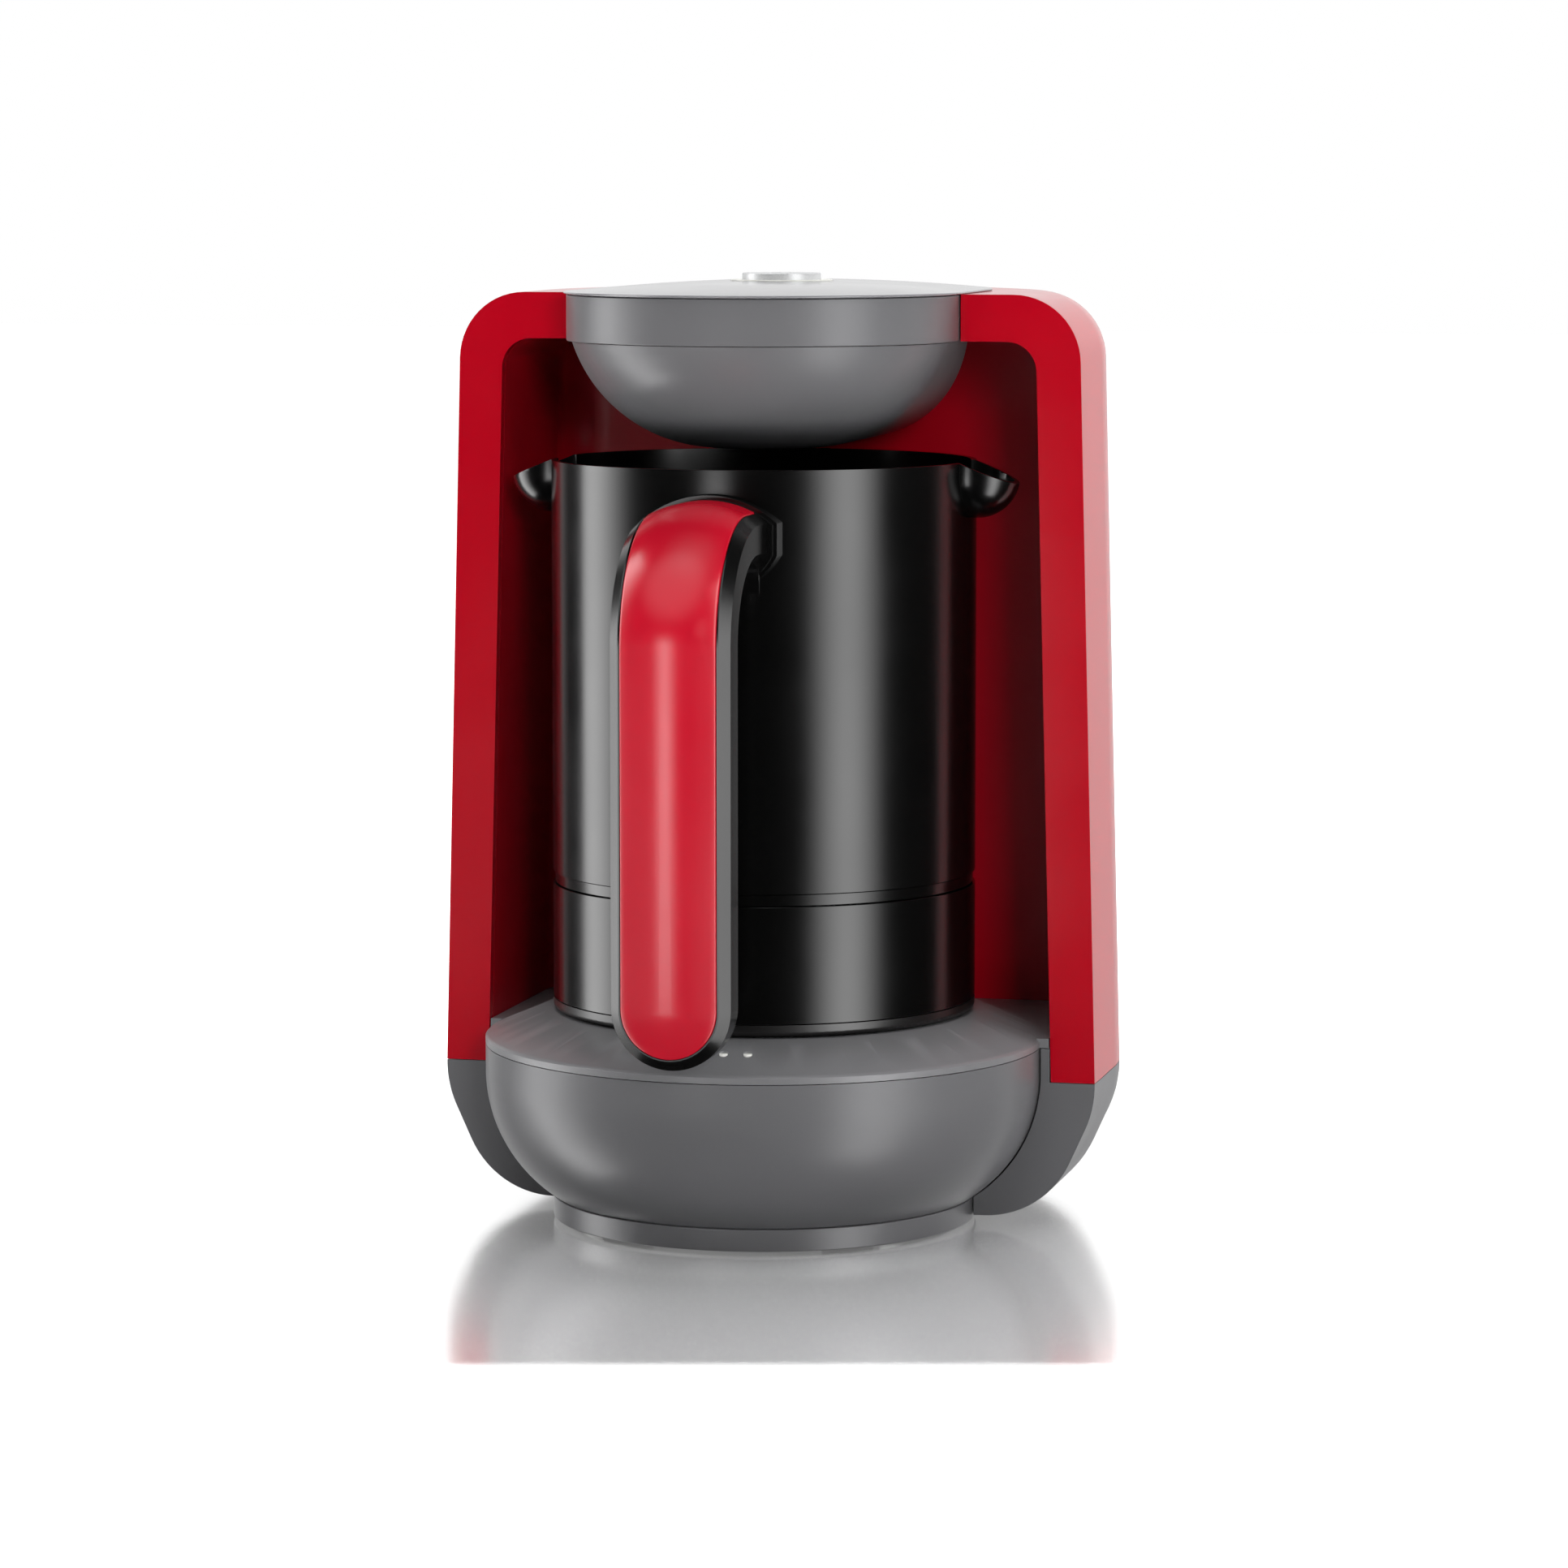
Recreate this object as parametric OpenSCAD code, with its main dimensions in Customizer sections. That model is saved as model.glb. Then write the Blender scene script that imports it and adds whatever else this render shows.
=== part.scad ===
// Electric coffee maker for small foamed coffees: an arch-shaped body with a
// round base bowl, a brewing head over the pot, and a handled pot that slides
// out to the front. Millimetres, +Z up, standing on Z = 0, front toward -Y.

/* [Body] */
// Width of the body where the red shell meets the grey shroud
body_w = 144; // [138:1:156]
// Height of the flat top of the arms
body_h = 198.5; // [194:0.5:206]
// Height of the seam between shell and shroud
split_h = 31; // [29:0.5:33]
// How far each side leans in from the seam to the top
side_lean = 4.3; // [2:0.1:6]
// Distance of the arch's front face behind the pot's axis
arch_front = 2; // [0:0.5:5]
// Distance of the round back's centre behind the pot's axis
back_centre = 26; // [22:1:32]
// Radius of the arch's top corners
top_corner_r = 14.5; // [12:0.5:17]
// Radius of the bend under the seam
shoulder_r = 23; // [20:1:26]
// Slope of the shroud below that bend, in degrees from upright
shoulder_angle = 24.5; // [18:0.5:30]
// Radius of the shroud's lower corner
heel_r = 20.5; // [17:0.5:23]
// Gap between the table and the shroud's floor
floor_gap = 1.5; // [1:0.1:2.5]
// Wall of the moulded housings
wall = 2.5; // [2:0.1:3]

/* [Niche] */
// Width of the arch's side bands at the front
arm_w = 9.5; // [8.5:0.5:10.5]
// Height of the arch's top band
lintel_h = 9.9; // [9:0.1:12]
// Radius of the niche's upper corners
niche_corner_r = 6.5; // [4:0.5:8]
// Gap between the pot and the niche's back wall
pot_back_gap = 10.7; // [10:0.1:14]
// Radius of the niche's upright back corners
niche_back_r = 10; // [6:1:14]
// Wall of the niche liner
liner_t = 2; // [1.6:0.1:2.4]

/* [Base] */
// Gap between the bowl's rim and the sides of the niche
bowl_gap = 2.5; // [1.5:0.1:3.5]
// Height of the deck at its rim
deck_h = 40.3; // [39:0.1:42]
// Thickness of the deck
deck_t = 2; // [1.6:0.1:2.4]
// Height of the bowl's upright rim
bowl_rim = 8; // [6:0.5:10]
// How far the bowl's side curve would dip below its flat underside
bowl_dip = 5; // [3:0.1:7]
// Width of the seat that shows round the pot
seat_margin = 1.7; // [1.2:0.1:2.6]
// Rise of the seat above the deck's rim
seat_rise = 5.2; // [3:0.1:6]
// How far the foot ring stands in from the bowl's rim
foot_inset = 14.5; // [13:0.5:16]
// Height of the foot ring's top edge
foot_h = 5.5; // [5:0.1:6.5]
// Diameter of a rubber foot
rubber_foot_d = 11; // [8:1:14]

/* [Head] */
// How far the head's upright band stands in from the pot's wall
head_inset = 3.3; // [2.5:0.1:5]
// Height of the head's bowl under the arch's top band
head_h = 22.6; // [20:0.1:24]
// Half width of the head's flat underside
head_flat = 10; // [8:0.1:12]
// Gap between the pot's rim and the head
head_gap = 2.6; // [1.5:0.1:4]
// How far the head's back reaches beyond the band's radius
head_back_more = 2; // [1:0.1:3]
// Diameter of the sensor window
window_d = 9; // [7:0.5:11]

/* [Lid and button] */
// How far the lid strip laps over the head's band on each side
lid_lap = 0.6; // [0.3:0.1:1.5]
// Rise of the lid's crown over its edge
lid_crown = 2; // [1:0.1:3]
// Height of the lid's edge
lid_edge = 0.5; // [0.3:0.1:0.8]
// Length of the lid's straight run
lid_run = 30; // [24:1:34]
// Diameter of the start button
button_d = 17; // [14:0.5:20]
// Distance of the button behind the pot's axis
button_back = 16; // [12:1:20]
// Travel of the start button
button_travel = 1.2; // [0.8:0.1:1.6]
// How far the button stands over the lid
button_proud = 1.6; // [1.2:0.1:2.5]

/* [Pot] */
// How far the pot's wall stands in from the bowl's rim
pot_inset = 14.7; // [14:0.1:16]
// Height of the heater housing, from the pot's underside to the seam
heater_h = 29.9; // [27:0.1:34]
// Height of the bead at that seam
bead_h = 2.7; // [2:0.1:4]
// Sheet thickness of the vessel
pot_wall = 1.2; // [1:0.1:1.6]
// Radius of a pouring spout
spout_r = 9; // [8:0.2:10]
// Distance of a spout's centre outside the pot's wall
spout_step = 1.2; // [0.5:0.1:2]
// Height from a spout's centre to the rim
spout_rise = 2.9; // [2:0.1:4]
// Slope of a spout's lip down and out from the rim, in degrees
lip_angle = 22; // [15:1:30]

/* [Handle] */
// Width of the handle
handle_w = 25; // [22:0.5:28]
// Width of the red inlay
inlay_w = 20; // [17:0.5:21]
// Distance of the grip's front from the pot's wall
handle_out = 38.7; // [37:0.1:42]
// Radius of the bend over the top
handle_bend_r = 28; // [26:0.5:30]
// Thickness of the grip
handle_t = 12; // [10:0.5:14]
// Height of the handle's lower end over the deck's rim
handle_lift = 3.8; // [2:0.1:8]
// Crown of the inlay across its width
inlay_crown = 2.4; // [1.5:0.1:3]
// Width of the bevel beside the inlay
bevel_w = 2.1; // [1.5:0.1:2.5]
// Distance of the handle's top below the rim
handle_drop = 5.9; // [5:0.1:12]

/* [Hidden] */
$fn = 96;

// Clearances
over = 1;                 // overrun of every cut
seam = 0.15;              // gap left at a closed seam
slip = 0.3;               // gap round a piece that slides or drops in

// Small screws
screw_d = 3;
screw_head_d = 5.6;
screw_head_h = 1.8;
screw_len = 8;

// Sides and corners of the body
half_w = body_w / 2;
lean_angle = atan(side_lean / (body_h - split_h));
corner_z = body_h - top_corner_r;
corner_x = half_w - (corner_z - split_h) * tan(lean_angle) - top_corner_r / cos(lean_angle);
shoulder_x = half_w - shoulder_r * cos(lean_angle);
shoulder_z = split_h - shoulder_r * sin(lean_angle);
slant_x = shoulder_x + shoulder_r * cos(shoulder_angle);
slant_z = shoulder_z - shoulder_r * sin(shoulder_angle);
heel_z = floor_gap + heel_r;
heel_x = slant_x + (sin(shoulder_angle) * (heel_z - slant_z) - heel_r) / cos(shoulder_angle);

// Niche
niche_half = half_w - arm_w;
ceiling_z = body_h - lintel_h;
niche_corner_z = ceiling_z - niche_corner_r;
niche_corner_x = niche_half - (niche_corner_z - split_h) * tan(lean_angle)
    - niche_corner_r / cos(lean_angle);
liner_low = deck_h - deck_t - wall;

// Radii round the pot's axis, each from the one outside it
bowl_r = niche_half - bowl_gap;
foot_r = bowl_r - foot_inset;
pot_r = bowl_r - pot_inset;
seat_r = pot_r + seat_margin;
head_r = pot_r - head_inset;
niche_back = pot_r + pot_back_gap;

// Base
bowl_curve_z = deck_h - bowl_rim;
bowl_curve_r = bowl_curve_z - foot_h + bowl_dip;
bowl_top = deck_h - deck_t;
seat_h = deck_h + seat_rise;
deck_bevel = 0.7;
foot_wall = 3.4;
foot_lift = 0.6;
flange_w = 9;
bottom_cover_r = foot_r - foot_wall - slip;
bottom_cover_t = 2.2;
bottom_cover_z = foot_h - bottom_cover_t - seam;
vent_count = 3;
vent_pitch = 5;
vent_w = 1.8;
vent_l = 22;
front_foot_edge = 2.36;
front_foot_at = (bottom_cover_r - rubber_foot_d / 2 - front_foot_edge) / sqrt(2);
rear_foot_edge = 3.6;
rear_foot_angle = 34.5;
rear_foot_r = heel_x - rubber_foot_d / 2 - rear_foot_edge;
rear_foot_x = rear_foot_r * sin(rear_foot_angle);
rear_foot_y = back_centre + rear_foot_r * cos(rear_foot_angle);
foot_pocket = 0.8;
screw_edge = 1.3;
cover_screw_at = bottom_cover_r - screw_head_d / 2 - screw_edge;

// Status lights in the deck
light_d = 1.8;
light_share = 0.385;
light_r = seat_r + (bowl_r - seat_r) * light_share;
light_pitch = 5;
light_first = 4;
light_h = 5;
light_top = 0.1;

// Head
head_low = ceiling_z - head_h;
head_bulge = 0.4;
head_curve_r = head_r + head_bulge - head_flat;
head_back_r = head_r + head_back_more;
head_curve_z = head_low + head_curve_r;
head_wall = 2.4;
head_spigot_h = 2;
window_t = 2;
sensor_board_w = 20;
sensor_gap = 1.5;
sensor_board_z = head_low + head_wall + window_t / 2 + slip + sensor_gap;
sensor_post_x = 7.5;
sensor_post_d = 2.6;
pcb_t = 1.6;

// Lid
lid_z = body_h;
lid_r = head_r + lid_lap;
lid_dome_r = (lid_r * lid_r + lid_crown * lid_crown) / (2 * lid_crown);
lid_top = lid_z + lid_edge + lid_crown;
lid_skirt_h = 4;
lid_skirt_t = 1.8;
lid_steps = 8;
lid_skirt_r = head_r - head_wall - slip;

// Button and what it presses
ring_w = 2.2;
ring_h = 3;
button_hole_d = button_d + 2 * slip;
ring_d = button_hole_d + 2 * ring_w;
ring_ledge = 0.2;
ring_z = lid_top + ring_ledge - ring_h;
button_top = lid_top + button_proud;
button_flange_w = 1.2;
button_flange_h = 1;
button_flange_z = ring_z - button_flange_h - seam;
stem_d = 3.6;
stem_len = 2.4;
stem_low = button_flange_z - stem_len;
dish_depth = 0.5;
dish_r = (button_d * button_d / 4 + dish_depth * dish_depth) / (2 * dish_depth);
spring_d = 11;
spring_wire = 0.8;
spring_turns = 3;
spring_steps = 20;
spring_sides = 8;
switch_w = 6;
switch_h = 3.2;
switch_gap = 0.1;
switch_top = stem_low - button_travel - switch_gap;
control_board_z = switch_top - switch_h - pcb_t;
spring_low = control_board_z + pcb_t;
spring_pitch = (button_flange_z - spring_low - spring_wire - 2 * seam) / spring_turns;
control_wide_share = 1.1;
control_long_share = 0.7;
control_board_w = head_r * control_wide_share;
control_board_l = head_r * control_long_share;
control_board_lead = 6;
control_board_y = button_back - control_board_lead;
board_inset = 6;
boss_d = 6;
buzzer_d = 10;
buzzer_h = 4.5;
buzzer_gap = 1.5;

// Pot
seat_slip = 0.3;
pot_low = seat_h + seat_slip;
pot_seam_h = pot_low + heater_h;
pot_rim_h = head_low - head_gap;
pot_floor_t = 1.5;
pot_floor = pot_seam_h + pot_floor_t;
skirt_top = pot_seam_h - bead_h;
skirt_t = 2;
bead_recess = 0.5;
spout_out = pot_r + spout_step;
spout_z = pot_rim_h - spout_rise;
cover_t = 2.5;
cover_edge_r = 1.2;
cover_boss_d = 10;
cover_boss_h = 10;
cover_screw_r = pot_r - skirt_t - cover_boss_d / 2 + skirt_t / 2;
heater_plate_r = pot_r - skirt_t * 2 - slip;
heater_plate_t = 5;
heater_plate_z = pot_seam_h - heater_plate_t - seam;
element_r = 27;
element_d = 6.4;
element_sweep = 310;
element_z = heater_plate_z - element_d / 2 - seam / 2;
element_tail = 7;
thermostat_d = 16;
thermostat_h = 6;
thermostat_tab = 6.3;
thermostat_tab_t = 0.8;

// Plug on the pot and socket in the niche
plug_w = 30;
plug_h = 14;
plug_lift = 3;
plug_proud = 3.2;
plug_gap = 0.5;
plug_z = pot_low + cover_t + plug_lift;
plug_face = pot_r + plug_proud;
plug_depth = 12;
pin_d = 3;
pin_pitch = 9;
pin_len = 9;
pin_root = 7;
socket_margin = 3;
socket_face = plug_face + plug_gap;
socket_depth = 18;
contact_t = 0.7;
contact_len = 10;
contact_bore = pin_d + 2 * slip;
contact_d = contact_bore + 2 * contact_t;
contact_inset = 2;
contact_from = socket_face + contact_inset;

// Handle
handle_reach = pot_r + handle_out;
handle_end_z = deck_h + handle_lift + handle_w / 2;
bend_y = handle_reach - handle_bend_r;
bend_z = pot_rim_h - handle_drop - handle_bend_r;
pad_t = 3.4;
pad_face = pot_r + pad_t;
inlay_crown_r = (inlay_w * inlay_w / 4 + inlay_crown * inlay_crown) / (2 * inlay_crown);
inlay_edge_t = 2.2;
inlay_gap = 0.1;
inlay_low_r = handle_bend_r - inlay_crown - inlay_edge_t;
bevel_drop = 2;
bevel_step = 0.2;
bevel_top_r = handle_bend_r - inlay_crown - bevel_step;
grip_back_r = handle_bend_r - handle_t;
grip_edge = 1.5;
pad_half = 14.4;
pad_top_r = 21.4;
pad_foot_r = 16.2;
pad_over = 0.9;
pad_top = bend_z + handle_bend_r + pad_over;
pad_h = 21;
pad_foot_z = pad_top - pad_h + pad_foot_r;
pad_edge = 0.8;
neck_fillet = 7;
handle_screw_pitch = 12;
handle_screw_z = bend_z + (grip_back_r + inlay_low_r) / 2;

// Electronics in the shroud
board_w = 60;
board_l = 16;
board_back = 6.5;
board_y = niche_back + board_back;
standoff_h = 7;
standoff_d = 6;
standoff_x = board_w / 4;
board_z = floor_gap + wall + standoff_h;
relay_w = 17;
relay_l = 13;
relay_h = 15;
relay_x = -17;
cap_d = 12;
cap_h = 16;
cap_x = 9;
block_w = 8;
block_l = 12;
block_h = 10;
block_x = -28;
harness_d = 4;
harness_bend = 8;
harness_clear = 1;
harness_x = plug_w / 2 + socket_margin + harness_clear + harness_d / 2;
harness_gap = 7;
harness_y = niche_back + liner_t + harness_gap;
harness_z = ceiling_z + liner_t + slip + harness_d / 2;
harness_lap = 2;

// Cord inlet at the back
inlet_rise = 13;
inlet_z = split_h + inlet_rise;
inlet_d = 11;
inlet_bore = 7.2;
inlet_flange_d = 16;
inlet_flange_t = 1.8;
inlet_len = 12;
inlet_seat = 0.9;
body_back = back_centre + half_w;
inlet_face = body_back - inlet_seat;

// The pot's axis stands off the origin, which is the middle of the whole depth
pot_y = (handle_reach - inlet_face - inlet_flange_t) / 2;

// Places everything that is drawn round the pot's axis
module on_axis() {
    translate([0, pot_y, 0]) children();
}

// Both sides of the body
module both_sides() {
    children();
    mirror([1, 0, 0]) children();
}

// Right half of the arch's outline from the seam up, moved in by d
module shell_outline(d) {
    r = top_corner_r - d;
    side = half_w - d / cos(lean_angle);
    union() {
        polygon([
            [0, split_h],
            [side, split_h],
            [corner_x + r * cos(lean_angle), corner_z + r * sin(lean_angle)],
            [corner_x, corner_z + r],
            [0, corner_z + r]
        ]);
        translate([corner_x, corner_z]) circle(r);
    }
}

// Right half of the shroud's outline from its floor to the seam, moved in by d
module shroud_outline(d) {
    rs = shoulder_r - d;
    rh = heel_r - d;
    intersection() {
        union() {
            polygon([
                [0, heel_z - rh],
                [heel_x, heel_z - rh],
                [heel_x + rh * cos(shoulder_angle), heel_z - rh * sin(shoulder_angle)],
                [shoulder_x + rs * cos(shoulder_angle), shoulder_z - rs * sin(shoulder_angle)],
                [shoulder_x + rs * cos(lean_angle), shoulder_z + rs * sin(lean_angle)],
                [0, split_h]
            ]);
            translate([heel_x, heel_z]) circle(rh);
            translate([shoulder_x, shoulder_z]) circle(rs);
        }
        square([half_w, split_h]);
    }
}

// Sweeps a right half outline along the straight sides and round the back
module body_sweep(d) {
    run = back_centre - arch_front - d;
    translate([0, back_centre, 0]) {
        rotate([90, 0, 0]) linear_extrude(run) both_sides() children();
        rotate_extrude(angle = 180) children();
    }
}

// Right half of the niche's outline from height low up, grown by d
module niche_outline(d, low) {
    r = niche_corner_r + d;
    side = niche_half + d / cos(lean_angle) - (low - split_h) * tan(lean_angle);
    union() {
        polygon([
            [0, low],
            [side, low],
            [niche_corner_x + r * cos(lean_angle), niche_corner_z + r * sin(lean_angle)],
            [niche_corner_x, niche_corner_z + r],
            [0, niche_corner_z + r]
        ]);
        translate([niche_corner_x, niche_corner_z]) circle(r);
    }
}

// Space of the niche between two depths, grown by d, with round upright corners
module niche_space(d, from, low) {
    far = niche_back + d;
    r = niche_back_r + d;
    run = far - r;
    tall = body_h - low;
    corner = niche_half - niche_back_r * cos(lean_angle) - (low - split_h) * tan(lean_angle);
    intersection() {
        translate([0, far, 0]) rotate([90, 0, 0]) linear_extrude(far - from)
            both_sides() niche_outline(d, low);
        union() {
            translate([-half_w, from, low]) cube([body_w, run - from, tall]);
            both_sides() {
                translate([0, from, low]) leaning_slab(corner, far - from, tall);
                translate([corner, run, low]) rotate([0, -lean_angle, 0])
                    translate([0, 0, -over * 2]) cylinder(r = r, h = tall + over * 4);
            }
        }
    }
}

// Upright slab from the middle out to a side that leans in
module leaning_slab(w, l, h) {
    translate([0, l, 0]) rotate([90, 0, 0]) linear_extrude(l)
        polygon([[0, 0], [w, 0], [w - h * tan(lean_angle), h], [0, h]]);
}

// Right half of the bowl's outline up to height top, moved in by d
module bowl_outline(d, top, low) {
    curve_x = bowl_r - bowl_curve_r;
    intersection() {
        union() {
            translate([curve_x, bowl_curve_z]) circle(bowl_curve_r - d);
            translate([0, low]) square([curve_x, top - low]);
            translate([0, bowl_curve_z]) square([bowl_r - d, top - bowl_curve_z]);
        }
        translate([0, low]) square([bowl_r - d, top - low]);
    }
}

module bowl_solid(d, top, low) {
    rotate_extrude() bowl_outline(d, top, low);
}

// Space that the round bowl and its foot take out of the shroud
module bowl_clearance() {
    bowl_solid(-slip, deck_h, foot_h);
    translate([0, 0, -over]) cylinder(r = foot_r + slip, h = foot_h + over * 2);
}

// Right half of the head's outline, moved in by d
module head_outline(d, top) {
    intersection() {
        union() {
            translate([head_flat, head_curve_z]) circle(head_curve_r - d);
            translate([0, head_curve_z - head_curve_r + d]) square([head_flat, head_curve_r]);
        }
        square([head_flat + head_curve_r, top]);
    }
}

// Head below the arch: round in front, straight to the back, bounded by a cylinder
module head_solid(d, top) {
    intersection() {
        union() {
            rotate([0, 0, 180]) rotate_extrude(angle = 180) head_outline(d, top);
            translate([0, head_back_r, 0]) rotate([90, 0, 0]) linear_extrude(head_back_r)
                both_sides() head_outline(d, top);
        }
        cylinder(r = head_back_r - d, h = top);
    }
}

// Long hole or plate with round ends, from the pot's axis to the back
module stadium(r, run) {
    circle(r);
    translate([0, run]) circle(r);
    translate([-r, 0]) square([2 * r, run]);
}

// Red outer shell with its flat front bands
module outer_shell() color("#b00018") on_axis() difference() {
    body_sweep(0) shell_outline(0);
    body_sweep(wall) shell_inside();
    translate([0, arch_front + wall + over, 0]) rotate([90, 0, 0])
        linear_extrude(wall + over * 2) both_sides() niche_outline(0, split_h - over);
    cylinder_at(head_r + slip, ceiling_z - over, lintel_h + over * 2);
    translate([0, 0, corner_z]) linear_extrude(top_corner_r + over) stadium(lid_skirt_r + slip, lid_run);
    translate([0, inlet_face, inlet_z]) rotate([-90, 0, 0]) {
        cylinder(d = inlet_flange_d + slip, h = inlet_seat + over);
        translate([0, 0, -wall * 2]) cylinder(d = inlet_d + slip, h = wall * 3);
    }
}

// Inside of the shell, carried below the seam so that it opens there
module shell_inside() {
    shell_outline(wall);
    translate([0, split_h - over]) square([half_w - wall / cos(lean_angle), over * 2]);
}

// Red inner lining of the niche
module niche_liner() color("#8a0012") on_axis() difference() {
    niche_space(liner_t, arch_front + wall + seam, liner_low);
    niche_space(0, arch_front, liner_low - over);
    cylinder_at(head_r + slip, ceiling_z - over, lintel_h);
    socket_body(slip);
}

// Grey lower shroud that carries the shape of the shell down to the table
module lower_shroud() color("#6a6a6a") on_axis() difference() {
    union() {
        body_sweep(0) intersection() {
            shroud_outline(0);
            square([half_w, split_h - seam]);
        }
        translate([-niche_half + slip, arch_front, split_h - wall])
            cube([2 * niche_half - 2 * slip, wall, bowl_top - split_h + wall - seam]);
    }
    difference() {
        body_sweep(wall) union() {
            shroud_outline(wall);
            translate([0, split_h - over]) square([half_w - wall, over * 2]);
        }
        translate([-half_w, 0, 0]) cube([body_w, arch_front + wall, body_h]);
    }
    bowl_clearance();
    for (s = [-1, 1]) translate([s * rear_foot_x, rear_foot_y, 0])
        cylinder(d = rubber_foot_d + slip, h = floor_gap + foot_pocket);
}

// Grey bowl at the front of the base, open toward the back of the shroud
module base_bowl() color("#6a6a6a") on_axis() difference() {
    union() {
        difference() {
            bowl_solid(0, bowl_top - seam, foot_h);
            bowl_solid(wall, bowl_top + over, foot_h - over);
        }
        intersection() {
            bowl_solid(0, bowl_top - seam, foot_h);
            cylinder_ring(foot_r, foot_r - wall - flange_w, foot_h, wall);
        }
    }
    translate([-bowl_r, niche_back - slip, 0]) cube([2 * bowl_r, bowl_r, bowl_top + over]);
    cover_screw_holes(foot_h - over, wall + over * 2);
}

module cover_screw_holes(z, h) {
    for (a = [0 : 120 : 240]) rotate([0, 0, a + 90])
        translate([cover_screw_at, 0, z]) cylinder(d = screw_d + slip, h = h);
}

// Deck with the raised round seat of the pot
module deck_plate() color("#727272") on_axis() difference() {
    union() {
        rotate_extrude() deck_outline(0, bowl_r, bowl_top);
        intersection() {
            niche_space(-slip, arch_front, bowl_top);
            translate([-half_w, arch_front, bowl_top]) cube([body_w, niche_back - arch_front, deck_t]);
        }
    }
    rotate_extrude() deck_outline(deck_t, bowl_r - wall, bowl_top - over);
    translate([-bowl_r, niche_back - slip, 0]) cube([2 * bowl_r, bowl_r, seat_h]);
    for (p = light_places()) translate([p[0], p[1], bowl_top - over])
        cylinder(d = light_d + slip, h = seat_rise + deck_t + over * 2);
}

// Right half of the deck's round part down to height low
module deck_outline(drop, rim, low) {
    polygon([
        [0, low],
        [rim, low],
        [rim, deck_h - drop - deck_bevel],
        [rim - deck_bevel, deck_h - drop],
        [seat_r, seat_h - drop],
        [0, seat_h - drop]
    ]);
}

// Two small status lights in the deck, in front of the pot
function light_places() = [for (i = [0, 1]) let(x = light_first + i * light_pitch)
    [x, -sqrt(light_r * light_r - x * x)]];
function deck_z(r) = deck_h + (bowl_r - deck_bevel - r) / (bowl_r - deck_bevel - seat_r) * seat_rise;

module deck_lights() color("#e8e8e0") on_axis()
    for (p = light_places()) translate([p[0], p[1], deck_z(light_r) + light_top - light_h])
        cylinder(d = light_d, h = light_h);

// Round foot under the bowl
module foot_ring() color("#6a6a6a") on_axis() difference() {
    translate([0, 0, foot_lift]) cylinder(r = foot_r, h = foot_h - foot_lift - seam);
    translate([0, 0, -over]) cylinder(r = foot_r - foot_wall, h = foot_h + over * 2);
}

// Round cover that closes the underside of the bowl
module bottom_cover() color("#3a3a3a") on_axis() difference() {
    translate([0, 0, bottom_cover_z]) cylinder(r = bottom_cover_r, h = bottom_cover_t);
    for (s = [-1, 1]) translate([s * front_foot_at, -front_foot_at, bottom_cover_z - over])
        cylinder(d = rubber_foot_d + slip, h = foot_pocket + over);
    for (i = [-vent_count : vent_count]) translate([i * vent_pitch - vent_w / 2, -vent_l / 2, 0])
        cube([vent_w, vent_l, foot_h + over]);
    cover_screw_holes(bottom_cover_z - over, bottom_cover_t + over * 2);
    for (a = [0 : 120 : 240]) rotate([0, 0, a + 90]) translate([cover_screw_at, 0, bottom_cover_z - over])
        cylinder(d = screw_head_d + slip, h = over + screw_head_h / 2 + seam);
}

// Rubber feet: two in the bottom cover, two under the back of the shroud
module rubber_feet() color("#202020") on_axis() {
    for (s = [-1, 1]) {
        translate([s * front_foot_at, -front_foot_at, 0])
            cylinder(d = rubber_foot_d, h = bottom_cover_z + foot_pocket);
        translate([s * rear_foot_x, rear_foot_y, 0])
            cylinder(d = rubber_foot_d, h = floor_gap + foot_pocket);
    }
}

// Screw with its head at the bottom, standing at the origin
module screw(len) {
    cylinder(d = screw_head_d, h = screw_head_h);
    translate([0, 0, screw_head_h]) cylinder(d = screw_d, h = len);
}

module bottom_screws() color("#9a9a9a") on_axis()
    for (a = [0 : 120 : 240]) rotate([0, 0, a + 90])
        translate([cover_screw_at, 0, bottom_cover_z - screw_head_h / 2]) screw(screw_len / 2);

// Upright grey band round the head
module head_band() color("#6a6a6a") on_axis() difference() {
    cylinder_ring(head_r, head_r - head_wall, ceiling_z, lintel_h - seam);
    translate([-head_r, arch_front + wall, lid_z - lid_skirt_h - slip])
        cube([2 * head_r, head_r, lid_skirt_h + over]);
    translate([harness_x - harness_d, 0, ceiling_z + liner_t]) cube([2 * harness_d, head_r, lintel_h]);
}

// Grey bowl of the head over the pot, with posts inside for the sensor board
module head_bowl() color("#6a6a6a") on_axis() {
    head_shell();
    for (s = [-1, 1]) translate([s * sensor_post_x, 0, 0])
        cylinder_at(sensor_post_d / 2, head_low + head_wall / 2,
            sensor_board_z - head_low - head_wall / 2 - seam);
}

// Hollow bowl with a spigot that enters the band and a hole for the window
module head_shell() difference() {
    top = ceiling_z - seam;
    spigot_r = head_r - head_wall - slip;
    union() {
        head_solid(0, top);
        cylinder_at(spigot_r, top - over, head_spigot_h + over);
    }
    difference() {
        head_solid(head_wall, top + over);
        cylinder_at(head_back_r + over, top - head_wall, head_wall * 2);
    }
    cylinder_at(spigot_r - head_wall, top - head_wall - over, head_wall + head_spigot_h + over * 2);
    cylinder_at(window_d / 2 + seam, head_low - over, head_wall + over * 2);
}

module cylinder_at(r, z, h) {
    translate([0, 0, z]) cylinder(r = r, h = h);
}

module cylinder_ring(r_out, r_in, z, h) {
    difference() {
        cylinder_at(r_out, z, h);
        cylinder_at(r_in, z - over, h + over * 2);
    }
}

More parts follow.
